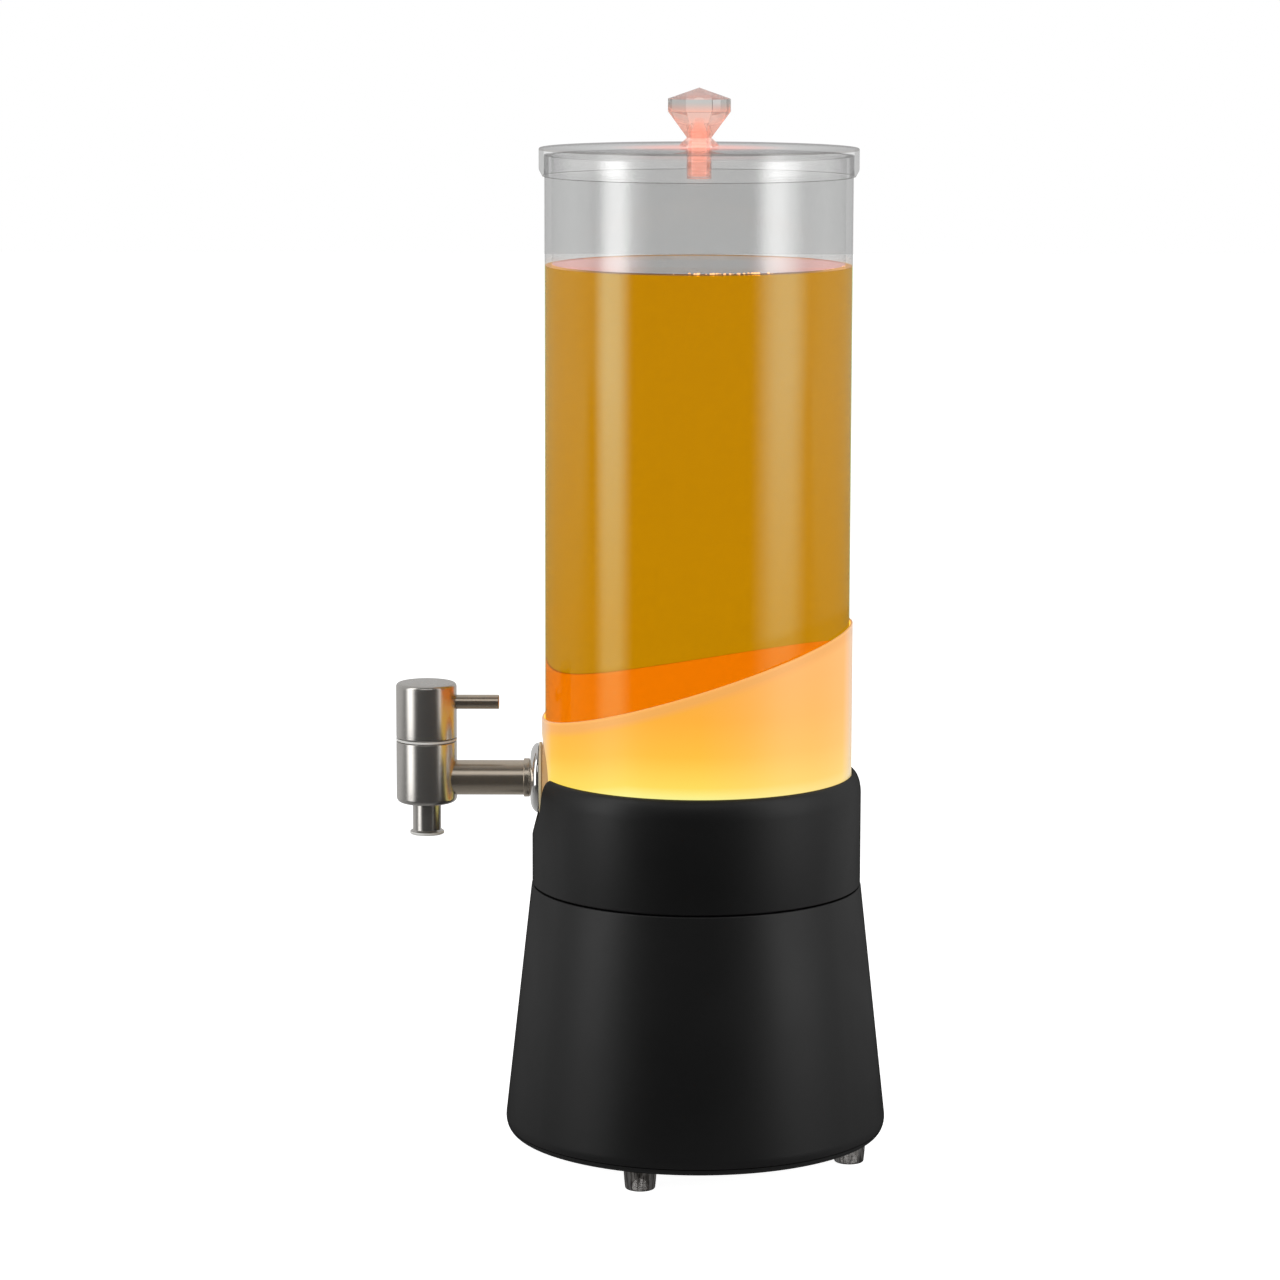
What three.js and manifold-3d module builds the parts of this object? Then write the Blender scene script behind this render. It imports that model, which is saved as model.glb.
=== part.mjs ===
// A counter-top drinks tower with a lit base, a clear tank, a frosted light sleeve and one tap
// Millimetres, +Z up. The origin is on the tower's axis, at the middle of the base's underside.
// The tap points along -X, and the view that shows it from the side looks along +Y.
import * as THREE from 'three';
import { mergeVertices } from 'three/addons/utils/BufferGeometryUtils.js';
import Module from 'manifold-3d';

const wasm = await Module();
wasm.setup();

// Clearances
const seatGap = 0.3; // between pieces that rest on or fit in each other
const collarGap = 0.5; // round the sleeve, so that the tank lifts out freely
const cutOver = 1; // how far a cutter runs past the face that it cuts

// How many facets a round piece gets
const ringFacets = 48;
const hiddenFacets = 36; // for discs and rings inside
const knobFacets = 8;
const rodFacets = 20;
const pinFacets = 8;
const arcSteps = 3;

// Tank: a clear tube with a glued floor
const tankRadius = 65;
const tankWall = 3;
const tankHeight = 291.4;
const tankFloorThickness = 5;

// Light sleeve: a frosted skin round the tube's foot, cut off on a slant
const sleeveWall = 1.1;
const sleeveAboveHole = 6.8; // what is left of it over the tap's hole, on the low side
const sleeveSlopeShare = 0.315; // rise along X, the tap's side being the low one
const sleeveHoleGap = 0.8; // round the tap's boss

// Lid
const lidWall = 2.1;
const lidThickness = 3;
const lidSkirtDepth = 9;
const lidEdgeRound = 0.8;
const lidChamferWidth = 1.5;
const lidChamferHeight = 2.8;

// Knob: a faceted clear stone on a round foot, with a stem through the lid
const knobHeight = 25;
const knobRadius = 13.1;
const knobCrownHeight = 4.7;
const knobGirdleHeight = 5.1;
const knobNeckRadius = 5.45;
const knobNeckHeight = 4.1; // above the lid
const knobFootRadius = 8.35;
const knobFootEdge = 0.8;
const knobStemRadius = 5.2;
const knobStemLength = 13; // from the lid's top down

// Base: a bottom plate, a conical skirt and a collar that takes the tank
const plateProud = 0.7; // how far the plate's edge stands out past the skirt
const plateThickness = 3;
const plateEdgeHeight = 9;
const plateEdgeRoundWidth = 3.5;
const plateEdgeRoundHeight = 6;
const plateLipHeight = 4;
const plateLipWall = 2.5;
const skirtFlare = 10.55; // how much wider the skirt's foot is than its top, in radius
const skirtProud = 0.25; // how far the skirt's top stands out past the collar
const skirtTopHeight = 108.4;
const skirtWall = 2.6;
const collarWall = 3.7;
const collarAboveTap = 3.2; // collar's top above the tap's arm
const collarShoulderHeight = 9;
const seamHeight = 0.6; // open line between skirt and collar
const notchMargin = 4.7; // of the U-shaped notch round the sleeve's hole
const notchLip = 3.1; // wall left between the notch and the deck
const deckRise = 18; // deck's top above the skirt's top
const spigotWall = 2.5;
const spigotDepth = 7.7;
const flangeMargin = 1.05; // of the flange past the collar's screw bosses
const flangeThickness = 2.5;

// Screws: all are one small self-tapping size
const screwRadius = 1.5;
const screwHeadRadius = 2.8;
const screwHeadHeight = 1.3;
const screwSocketRadius = 1.2;
const screwSocketDepth = 0.7;
const screwHoleMargin = 1.2; // of a blind hole past the screw's tip
const bossWall = 2.2;
const postWall = 1.8;

// Screws that hold the plate to the skirt
const plateScrewMargin = 0.6; // between their bosses and the plate's lip
const plateScrewCount = 4;
const plateScrewStartAngle = 25;
const plateScrewLength = 11;
const plateScrewSinkMargin = 0.1;
const plateBossEnd = 10.1; // solid length of the boss past the screw's hole
const plateBossRib = 2.5;

// Screws that hold the collar to the skirt's flange
const collarScrewInset = 7.25; // from the skirt's inner wall
const collarScrewCount = 3;
const collarScrewStartAngle = 30;
const collarScrewLength = 10;

// Feet
const footInset = 12.1; // from the plate's edge
const footCount = 4;
const footStartAngle = -110;
const footHeight = 9;
const footTopRadius = 7;
const footBottomRadius = 6.3;
const footEdge = 0.8;
const footStemRadius = 2.5;
const footStemInset = 0.5; // of the stem's end in the plate

// Light: a board of LEDs under a frosted lens, and a rubber pad that carries the tank
const lensThickness = 1.7;
const lensLedge = 3.7;
const lensLedgeThickness = 2;
const lensPostMargin = 2.1; // of the deck's edge inside the board's posts
const padLensMargin = 4.3;
const padTankInset = 3; // of the pad's edge under the tank's
const padThickness = 1.5;
const boardGap = 2; // between the board and the collar's screw bosses
const boardThickness = 1.6;
const boardPostMargin = 1.4; // of the board's edge round its posts
const boardScrewCount = 3;
const boardScrewStartAngle = 90;
const boardScrewLength = 7;
const ledCount = 6;
const ledInset = 17.7; // of the LEDs' circle from the lens's edge
const ledRadius = 2.5;
const ledRimRadius = 2.9;
const ledRimHeight = 1;
const ledHeight = 8;
const ledHeadroom = 2.4;

// Batteries: three slim cells across a bay in the plate
const cellCount = 3;
const cellRadius = 5.25;
const cellLength = 43.5;
const cellNubRadius = 1.9;
const cellNubLength = 1;
const cellSpacing = 0.7;
const contactThickness = 0.5;
const contactMargin = 1.5; // how much lower the contacts are than the cells
const bayWall = 1.5;
const bayMiddleY = 30;
const bayScrewLength = 11.5; // room along X for the cover's screw
const coverThickness = 2.2;
const coverScrewLength = 7;

// Push switch under the base
const switchY = -35;
const switchSideWall = 1.4;
const switchWall = 2;
const buttonRadius = 4;
const buttonProud = 2.2;
const buttonTravel = 1.5;
const buttonFlangeWidth = 1.2;
const buttonFlangeHeight = 1.2;
const buttonGap = 0.4;

// Leads inside the base
const leadRadius = 1.1;
const leadSteps = 14;
const leadSides = 6;
const leadRoofInset = 5.3; // from the bay's far edge to where the lead leaves its roof
const leadBoardInset = 7.2; // from the board's edge
const batteryLeadAngle = 106; // where it meets the board
const switchLeadAngle = -87;
// Rows of the way up, then how far the lead bows out along X and Y, all as shares of its rise
const leadShares = [
  [0, 0, 0],
  [0.05, 0, 0],
  [0.22, 0.03, 0.045],
  [0.48, 0.08, 0.08],
  [0.75, 0.035, 0.045],
  [0.95, 0, 0],
  [1, 0, 0],
];

// Tap: one machined body with an arm that runs through the tank's wall
const armRadius = 7.5;
const armWall = 3;
const armPastNut = 1.8; // inside the tank
const beadProud = 0.8;
const beadWidth = 2.6;
const neckLength = 28.7; // bare arm between bead and barrel
const bodyRadius = 13;
const bodyAboveArm = 16.1;
const bodyBelowArm = 10.5;
const bodyEdgeRound = 2.2;
const bodyTopChamfer = 0.4;
const bodyWall = 4;
const bodyFloor = 3.5;

// Tap's mount, from the tank's wall outwards
const bossProud = 1.1; // of its flat face past the tube
const bossFaceMargin = 0.3;
const bossFlare = 3.4;
const bossSlopeDepth = 3.5;
const outerGasketMargin = 0.3;
const outerGasketThickness = 1.2;
const domeRadius = 15;
const domeTopWidth = 1.7; // flat ring round the arm
const domeHeight = 3.4;
const domeWall = 1;
const innerGasketThickness = 3.4; // from the tube's inner wall to its flat face
const nutRadius = 12;
const nutThickness = 6;
const nutSides = 6;

// Nozzle
const nozzleRadius = 6.1;
const nozzleWall = 1.9;
const nozzleLength = 14;
const nozzleThreadDepth = 0.7;
const nozzleLipProud = 1.25;
const nozzleLipHeight = 2;
const nozzleLipEdge = 0.6;

// Turning head and valve
const washerThickness = 1;
const headHeight = 23.6;
const headEdgeRound = 1.6;
const headBottomChamfer = 0.4;
const headCap = 5;
const leverRadius = 3.1;
const leverDrop = 8.4; // its axis below the head's top
const leverProud = 18.2; // past the head's side
const leverRoot = 3.5;
const leverEdge = 0.5;
const stemRadius = 6;
const sealTube = 0.75;
const sealDrop = 5; // below the plug's top
const sealFacets = 6;
const retainerHeight = 3.4;
const retainerSink = 0.4;

// Sizes that follow
const circle = Math.PI * 2;
const boltHoleRadius = screwRadius + seatGap;
const bossRadius = boltHoleRadius + bossWall;
const postRadius = boltHoleRadius + postWall;
const flushSink = screwHeadHeight + seatGap;
const armHoleRadius = armRadius + seatGap;

// Radii from the tank outwards
const tankInnerRadius = tankRadius - tankWall;
const sleeveInnerRadius = tankRadius + seatGap;
const sleeveRadius = sleeveInnerRadius + sleeveWall;
const collarInnerRadius = sleeveRadius + collarGap;
const collarRadius = collarInnerRadius + collarWall;
const skirtTopRadius = collarRadius + skirtProud;
const skirtBottomRadius = skirtTopRadius + skirtFlare;
const plateRadius = skirtBottomRadius + plateProud;
const spigotSeat = skirtTopRadius - skirtWall;
const spigotRadius = spigotSeat - seatGap;
const spigotInnerRadius = spigotRadius - spigotWall;
const collarScrewCircle = spigotSeat - collarScrewInset;
const boardRadius = collarScrewCircle - bossRadius - boardGap;
const boardScrewCircle = boardRadius - boardPostMargin - postRadius;
const lensSeatRadius = boardScrewCircle - postRadius - lensPostMargin + lensLedge;
const lensRadius = lensSeatRadius - seatGap;

// Radii of the tap's mount, from its dome outwards
const outerGasketRadius = domeRadius + outerGasketMargin;
const bossFaceRadius = outerGasketRadius + bossFaceMargin;
const bossBaseRadius = bossFaceRadius + bossFlare;
const sleeveHoleRadius = bossBaseRadius + sleeveHoleGap;
const notchRadius = sleeveHoleRadius + notchMargin;

// Heights from the base upwards
const skirtBottomHeight = plateEdgeHeight + seatGap;
const collarBottomHeight = skirtTopHeight + seamHeight;
const flangeTop = skirtTopHeight - spigotDepth - seatGap;
const flangeBottom = flangeTop - flangeThickness;
const deckTop = skirtTopHeight + deckRise;
const deckBottom = deckTop - lensThickness - seatGap - lensLedgeThickness;
const boardTop = deckBottom - ledHeight - ledHeadroom - seatGap;
const boardBottom = boardTop - boardThickness;
const tapHeight = deckTop + notchLip + notchRadius;
const collarTopHeight = tapHeight + collarAboveTap;
const tankBottom = deckTop + seatGap + padThickness + seatGap;
const tankTop = tankBottom + tankHeight;
const lidBottom = tankTop + seatGap;
const lidTop = lidBottom + lidThickness;
const bodyTop = tapHeight + bodyAboveArm;
const headBottom = bodyTop + seatGap + washerThickness + seatGap;

// Reaches along the tap, from the tower's axis
const innerGasketReach = tankInnerRadius - innerGasketThickness;
const nutFace = innerGasketReach - seatGap;
const armInnerEnd = nutFace - nutThickness - armPastNut;
const bossFaceReach = tankRadius + bossProud;
const domeFoot = bossFaceReach + seatGap + outerGasketThickness + seatGap;
const domeTop = domeFoot + domeHeight;
const beadStart = domeTop + seatGap;
const tapReach = beadStart + beadWidth + neckLength + bodyRadius;

// Materials
function finish(color, roughness, metalness, opacity) {
  const solidLook = opacity === undefined;
  const extra = solidLook ? {} : { transparent: true, opacity };
  return new THREE.MeshStandardMaterial({ color, roughness, metalness, ...extra });
}
const blackPlastic = finish('#2d2d2d', 0.45, 0);
const clearAcrylic = finish('#cfd2d1', 0.08, 0, 0.35);
const frostedAcrylic = finish('#ffc46c', 0.6, 0, 0.85);
const amberAcrylic = finish('#b98a4e', 0.25, 0, 0.7);
const steel = finish('#8f8c86', 0.32, 1);
const brightSteel = finish('#c9c9c7', 0.18, 1);
const paleSilicone = finish('#ddd3b8', 0.6, 0);
const palePolymer = finish('#d8d6d0', 0.5, 0);
const blackRubber = finish('#191817', 0.7, 0);
const smokedRubber = finish('#2a2724', 0.2, 0);
const boardGreen = finish('#2c6b45', 0.5, 0);
const ledClear = finish('#fff0c0', 0.15, 0, 0.8);
const cellSleeve = finish('#5b6470', 0.4, 0.2);
const leadSleeve = finish('#a32a22', 0.5, 0);

// Closed solids that can be joined and cut
function solidOf(geometry) {
  const bare = new THREE.BufferGeometry();
  bare.setAttribute('position', geometry.getAttribute('position'));
  bare.setIndex(geometry.getIndex());
  const welded = mergeVertices(bare);
  const corners = welded.getIndex().array;
  const kept = [];
  for (let i = 0; i < corners.length; i += 3) {
    const [a, b, c] = corners.subarray(i, i + 3);
    if (a !== b && b !== c && c !== a) kept.push(a, b, c);
  }
  const vertProperties = welded.getAttribute('position').array;
  const triVerts = Uint32Array.from(kept);
  return new wasm.Manifold(new wasm.Mesh({ numProp: 3, vertProperties, triVerts }));
}

function geometryOf(solid) {
  const { vertProperties, triVerts } = solid.getMesh();
  const geometry = new THREE.BufferGeometry();
  geometry.setAttribute('position', new THREE.BufferAttribute(vertProperties, 3));
  geometry.setIndex(new THREE.BufferAttribute(triVerts, 1));
  geometry.computeVertexNormals();
  return geometry;
}

// A quarter of an ellipse from one angle to another, as [radius, height] points
function arc(middleRadius, middleHeight, width, height, fromAngle, toAngle) {
  const points = [];
  for (let i = 0; i <= arcSteps; i += 1) {
    const angle = THREE.MathUtils.degToRad(fromAngle + ((toAngle - fromAngle) * i) / arcSteps);
    points.push([middleRadius + width * Math.cos(angle), middleHeight + height * Math.sin(angle)]);
  }
  return points;
}

// A closed outline of [radius, height] points turned about the upright axis
function revolve(outline, facets = ringFacets) {
  const onAxis = outline[0][0] === 0 && outline[outline.length - 1][0] === 0;
  const loop = onAxis ? outline : [...outline, outline[0]];
  let area = 0;
  for (let i = 0; i < outline.length; i += 1) {
    const [r0, z0] = outline[i];
    const [r1, z1] = outline[(i + 1) % outline.length];
    area += r0 * z1 - r1 * z0;
  }
  const points = loop.map(([r, z]) => new THREE.Vector2(r, z));
  if (area < 0) points.reverse();
  return solidOf(new THREE.LatheGeometry(points, facets).rotateX(Math.PI / 2));
}

const disc = (radius, bottom, top, facets) =>
  revolve([[0, bottom], [radius, bottom], [radius, top], [0, top]], facets);

const ring = (inner, outer, bottom, top, facets) =>
  revolve([[inner, bottom], [outer, bottom], [outer, top], [inner, top]], facets);

// Turns an upright solid so that its height runs along -X, away from the tower's axis
const alongTap = (solid) => solid.rotate([0, -90, 0]);

function block(size, middle) {
  const geometry = new THREE.BoxGeometry(...size).translate(...middle);
  return solidOf(geometry);
}

// Places round a circle, as [x, y, angle in degrees]
function around(count, radius, startAngle) {
  return Array.from({ length: count }, (_, i) => {
    const angle = startAngle + (i * 360) / count;
    const turn = THREE.MathUtils.degToRad(angle);
    return [radius * Math.cos(turn), radius * Math.sin(turn), angle];
  });
}

// The object and its groups
const tower = new THREE.Group();
const base = new THREE.Group();
const tank = new THREE.Group();
const tap = new THREE.Group();
const head = new THREE.Group();
const lid = new THREE.Group();
tank.position.set(0, 0, tankBottom);
tap.position.set(0, 0, tapHeight);
head.position.set(-tapReach, 0, tapHeight);
lid.position.set(0, 0, lidTop);
tower.add(base, tank, tap, head, lid);

function addPiece(name, solid, material, group, place = [0, 0, 0], turn = 0) {
  const mesh = new THREE.Mesh(geometryOf(solid), material);
  mesh.name = name;
  mesh.position.set(...place);
  mesh.rotation.z = THREE.MathUtils.degToRad(turn);
  group.add(mesh);
}

// A screw with its head down and its tip up; height zero is under the head
function screw(length) {
  const shank = disc(screwRadius, -screwHeadHeight, length, pinFacets);
  const cap = disc(screwHeadRadius, -screwHeadHeight, 0, pinFacets);
  const socketTop = screwSocketDepth - screwHeadHeight;
  const socket = disc(screwSocketRadius, -screwHeadHeight - cutOver, socketTop, nutSides);
  return shank.add(cap).subtract(socket);
}

// Bottom plate, with the battery bay, the switch hole and holes for screws and feet
const bayLength = cellLength + cellNubLength + 2 * (contactThickness + 2 * seatGap);
const cellPitch = 2 * cellRadius + cellSpacing;
const bayWidth = cellCount * cellPitch;
const bayHeight = coverThickness + 2 * seatGap + 2 * cellRadius;
const coverLength = bayLength + bayWall + bayScrewLength;
const cellBayMiddleX = (bayLength - coverLength) / 2;
const coverScrewX = (coverLength - bayScrewLength) / 2;
const ribX = cellBayMiddleX + (bayLength + bayWall) / 2;
const skirtRadiusAt = (height) => {
  const share = (height - skirtBottomHeight) / (skirtTopHeight - skirtBottomHeight);
  return skirtBottomRadius + (skirtTopRadius - skirtBottomRadius) * share;
};
const plateLipTop = plateEdgeHeight + plateLipHeight;
const plateLipRadius = skirtRadiusAt(plateLipTop) - skirtWall - seatGap;
const plateInnerRadius = plateLipRadius - plateLipWall;
const plateScrewCircle = plateInnerRadius - plateScrewMargin - bossRadius;
const plateScrewSink = flushSink + plateScrewSinkMargin;
const plateHoleTop = plateScrewSink + plateScrewLength + screwHoleMargin;
const plateScrews = around(plateScrewCount, plateScrewCircle, plateScrewStartAngle);
const feet = around(footCount, plateRadius - footInset, footStartAngle);

function basePlate() {
  const plateFlatRadius = plateRadius - plateEdgeRoundWidth;
  let plate = revolve([
    [0, 0],
    ...arc(plateFlatRadius, plateEdgeRoundHeight, plateEdgeRoundWidth, plateEdgeRoundHeight, -90, 0),
    [plateRadius, plateEdgeHeight],
    [plateLipRadius, plateEdgeHeight],
    [plateLipRadius, plateLipTop],
    [plateInnerRadius, plateLipTop],
    [plateInnerRadius, plateThickness],
    [0, plateThickness],
  ]);
  const roof = bayHeight + bayWall;
  plate = plate.add(
    block([coverLength + 2 * bayWall, bayWidth + 2 * bayWall, roof], [0, bayMiddleY, roof / 2]),
  );
  plate = plate.subtract(
    block([coverLength, bayWidth, bayHeight + cutOver], [0, bayMiddleY, (bayHeight - cutOver) / 2]),
  );
  const ribHeight = bayHeight - coverThickness;
  const ribMiddle = bayHeight + seatGap - ribHeight / 2;
  const rib = block([bayWall, bayWidth + bayWall, ribHeight], [ribX, bayMiddleY, ribMiddle]);
  const post = disc(postRadius, coverThickness + seatGap, bayHeight + bayWall, rodFacets / 2);
  const postHoleTop = flushSink + coverScrewLength + screwHoleMargin;
  const postHole = disc(boltHoleRadius, coverThickness, postHoleTop, pinFacets);
  plate = plate.add(rib).add(post.translate([coverScrewX, bayMiddleY, 0]));
  plate = plate.subtract(postHole.translate([coverScrewX, bayMiddleY, 0]));
  const through = disc(boltHoleRadius, -cutOver, plateThickness + cutOver, pinFacets);
  const sink = disc(screwHeadRadius + seatGap, -cutOver, plateScrewSink, pinFacets);
  for (const [x, y] of plateScrews) plate = plate.subtract(through.add(sink).translate([x, y, 0]));
  const footHole = disc(footStemRadius + seatGap, -cutOver, plateThickness + cutOver, pinFacets);
  for (const [x, y] of feet) plate = plate.subtract(footHole.translate([x, y, 0]));
  const buttonHole = disc(buttonRadius + buttonGap, -cutOver, plateThickness + cutOver, rodFacets);
  return plate.subtract(buttonHole.translate([0, switchY, 0]));
}
addPiece('base_plate', basePlate(), blackPlastic, base);

// Skirt, with a flange near its top and four screw bosses at its foot
const collarScrews = around(collarScrewCount, collarScrewCircle, collarScrewStartAngle);

function skirtShell() {
  const flangeInnerRadius = collarScrewCircle - bossRadius - flangeMargin;
  let shell = revolve([
    [skirtBottomRadius, skirtBottomHeight],
    [skirtTopRadius, skirtTopHeight],
    [spigotSeat, skirtTopHeight],
    [spigotSeat, flangeTop],
    [flangeInnerRadius, flangeTop],
    [flangeInnerRadius, flangeBottom],
    [skirtRadiusAt(flangeBottom) - skirtWall, flangeBottom],
    [skirtBottomRadius - skirtWall, skirtBottomHeight],
  ]);
  const bossTop = plateHoleTop + plateBossEnd;
  const ribBottom = plateLipTop + seatGap;
  const ribEnd = skirtRadiusAt(bossTop) - skirtWall / 2;
  const boss = disc(bossRadius, plateThickness + seatGap, bossTop, rodFacets / 2);
  const rib = block(
    [ribEnd - plateScrewCircle, plateBossRib, bossTop - ribBottom],
    [(ribEnd + plateScrewCircle) / 2, 0, (bossTop + ribBottom) / 2],
  );
  const hole = disc(boltHoleRadius, 0, plateHoleTop, pinFacets);
  for (const [x, y, angle] of plateScrews) {
    shell = shell.add(boss.translate([x, y, 0])).add(rib.rotate([0, 0, angle]));
    shell = shell.subtract(hole.translate([x, y, 0]));
  }
  const flangeHole = disc(boltHoleRadius, flangeBottom - cutOver, flangeTop + cutOver, pinFacets);
  for (const [x, y] of collarScrews) shell = shell.subtract(flangeHole.translate([x, y, 0]));
  return shell;
}
addPiece('skirt_shell', skirtShell(), blackPlastic, base);

// Collar: a ring with a spigot into the skirt, a ledge for the deck and a U-shaped notch for the tap
function collarShell() {
  const shoulderWidth = collarRadius - collarInnerRadius;
  const shoulderBottom = collarTopHeight - collarShoulderHeight;
  const ledgeTop = deckBottom - seatGap;
  const shell = revolve([
    [collarRadius, collarBottomHeight],
    ...arc(collarInnerRadius, shoulderBottom, shoulderWidth, collarShoulderHeight, 0, 90),
    [collarInnerRadius, ledgeTop],
    [spigotInnerRadius, ledgeTop],
    [spigotInnerRadius, flangeTop + seatGap],
    [spigotRadius, flangeTop + seatGap],
    [spigotRadius, collarBottomHeight],
  ]);
  const notchReach = collarRadius + cutOver;
  const notchRound = alongTap(disc(notchRadius, tankInnerRadius, notchReach, 2 * rodFacets));
  const notchHeight = collarTopHeight - tapHeight + cutOver;
  const notchTop = block(
    [notchReach - tankInnerRadius, 2 * notchRadius, notchHeight],
    [-(notchReach + tankInnerRadius) / 2, 0, tapHeight + notchHeight / 2],
  );
  return shell.subtract(notchRound.translate([0, 0, tapHeight])).subtract(notchTop);
}
addPiece('collar', collarShell(), blackPlastic, base);

// Deck: a ring on the collar's ledge, with a seat for the lens, posts for the board and bosses for the
// screws that clamp deck, collar and skirt together
const boardScrews = around(boardScrewCount, boardScrewCircle, boardScrewStartAngle);

function deckRing() {
  const lensSeatHeight = deckTop - lensThickness - seatGap;
  let shell = revolve([
    [collarInnerRadius - seatGap, deckBottom],
    [collarInnerRadius - seatGap, deckTop],
    [lensSeatRadius, deckTop],
    [lensSeatRadius, lensSeatHeight],
    [lensSeatRadius - lensLedge, lensSeatHeight],
    [lensSeatRadius - lensLedge, deckBottom],
  ]);
  const post = disc(postRadius, boardTop + seatGap, deckBottom + cutOver, pinFacets);
  const postHoleTop = boardBottom + boardScrewLength + screwHoleMargin;
  const postHole = disc(boltHoleRadius, boardTop, postHoleTop, pinFacets);
  for (const [x, y] of boardScrews) {
    shell = shell.add(post.translate([x, y, 0])).subtract(postHole.translate([x, y, 0]));
  }
  const boss = disc(bossRadius, flangeTop + seatGap, deckBottom + cutOver, rodFacets / 2);
  const bossHoleTop = flangeBottom + collarScrewLength + screwHoleMargin;
  const bossHole = disc(boltHoleRadius, flangeTop, bossHoleTop, pinFacets);
  for (const [x, y] of collarScrews) {
    shell = shell.add(boss.translate([x, y, 0])).subtract(bossHole.translate([x, y, 0]));
  }
  return shell;
}
addPiece('deck', deckRing(), blackPlastic, base);

// Screws of the base
function addScrews(name, places, length, underHead) {
  places.forEach(([x, y], i) => {
    addPiece(`${name}_${i + 1}`, screw(length), steel, base, [x, y, underHead - seatGap]);
  });
}
addScrews('plate_screw', plateScrews, plateScrewLength, plateScrewSink);
addScrews('collar_screw', collarScrews, collarScrewLength, flangeBottom);
addScrews('board_screw', boardScrews, boardScrewLength, boardBottom);

// Feet: clear bumpers with a stem pressed into the plate
const footStemTop = plateThickness - footStemInset;
const foot = revolve([
  [0, -footHeight],
  [footBottomRadius - footEdge, -footHeight],
  [footBottomRadius, footEdge - footHeight],
  [footTopRadius, -seatGap],
  [footStemRadius, -seatGap],
  [footStemRadius, footStemTop],
  [0, footStemTop],
], rodFacets);
feet.forEach(([x, y], i) => addPiece(`foot_${i + 1}`, foot, smokedRubber, base, [x, y, 0]));

// Light unit under the tank
const lens = disc(lensRadius, deckTop - lensThickness, deckTop, hiddenFacets);
addPiece('light_lens', lens, frostedAcrylic, base);

let board = disc(boardRadius, boardBottom, boardTop, hiddenFacets);
const boardHole = disc(boltHoleRadius, boardBottom - cutOver, boardTop + cutOver, pinFacets);
for (const [x, y] of boardScrews) board = board.subtract(boardHole.translate([x, y, 0]));
addPiece('led_board', board, boardGreen, base);

const led = revolve([
  [0, 0],
  [ledRimRadius, 0],
  [ledRimRadius, ledRimHeight],
  [ledRadius, ledRimHeight],
  ...arc(0, ledHeight - ledRadius, ledRadius, ledRadius, 0, 90).slice(0, -1),
  [0, ledHeight],
], pinFacets);
around(ledCount, lensRadius - ledInset, 0).forEach(([x, y], i) => {
  addPiece(`led_${i + 1}`, led, ledClear, base, [x, y, boardTop + seatGap]);
});

const padBottom = deckTop + seatGap;
const padTop = padBottom + padThickness;
const pad = ring(lensRadius + padLensMargin, tankRadius - padTankInset, padBottom, padTop, hiddenFacets);
addPiece('seat_pad', pad, blackRubber, base);

// Battery bay: cells head to tail, a contact strip at each end and a screwed cover
const cell = revolve([
  [0, 0],
  [cellRadius, 0],
  [cellRadius, cellLength],
  [cellNubRadius, cellLength],
  [cellNubRadius, cellLength + cellNubLength],
  [0, cellLength + cellNubLength],
], rodFacets / 2).rotate([0, 90, 0]);
const cellHeight = coverThickness + seatGap + cellRadius;
const cellHalf = (cellLength + cellNubLength) / 2;
for (let i = 0; i < cellCount; i += 1) {
  const flipped = i % 2 === 1;
  const x = cellBayMiddleX + (flipped ? cellHalf : -cellHalf);
  const y = bayMiddleY + (i - (cellCount - 1) / 2) * cellPitch;
  addPiece(`battery_${i + 1}`, cell, cellSleeve, base, [x, y, cellHeight], flipped ? 180 : 0);
}
const contactHeight = 2 * cellRadius - contactMargin;
const contact = block([contactThickness, bayWidth - 2 * seatGap, contactHeight], [0, 0, 0]);
const contactOffset = bayLength / 2 - seatGap - contactThickness / 2;
const contactPlace = (side) => [cellBayMiddleX + side * contactOffset, bayMiddleY, cellHeight];
addPiece('contact_strip_outer', contact, brightSteel, base, contactPlace(-1));
addPiece('contact_strip_inner', contact, brightSteel, base, contactPlace(1));

const coverHole = disc(boltHoleRadius, -cutOver, coverThickness + cutOver, pinFacets);
const coverSink = disc(screwHeadRadius + seatGap, -cutOver, flushSink, pinFacets);
const cover = block(
  [coverLength - 2 * seatGap, bayWidth - 2 * seatGap, coverThickness],
  [0, 0, coverThickness / 2],
).subtract(coverHole.add(coverSink).translate([coverScrewX, 0, 0]));
addPiece('battery_cover', cover, blackPlastic, base, [0, bayMiddleY, 0]);
const coverScrewPlace = [coverScrewX, bayMiddleY, flushSink - seatGap];
addPiece('cover_screw', screw(coverScrewLength), steel, base, coverScrewPlace);

// Push switch: a housing on the plate, and a button that goes up through it
const buttonFlangeRadius = buttonRadius + buttonFlangeWidth;
const buttonFlangeBottom = plateThickness + seatGap + buttonGap;
const buttonFlangeTop = buttonFlangeBottom + buttonFlangeHeight;
const switchCavityTop = buttonFlangeTop + buttonTravel + buttonGap;
const switchTop = switchCavityTop + switchWall;
const switchBottom = plateThickness + seatGap;
const switchCavityRadius = buttonFlangeRadius + buttonGap;
const switchWidth = 2 * (switchCavityRadius + switchSideWall);
const housing = block(
  [switchWidth, switchWidth, switchTop - switchBottom],
  [0, 0, (switchTop + switchBottom) / 2],
).subtract(disc(switchCavityRadius, switchBottom - cutOver, switchCavityTop, rodFacets));
addPiece('switch_housing', housing, blackPlastic, base, [0, switchY, 0]);

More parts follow.
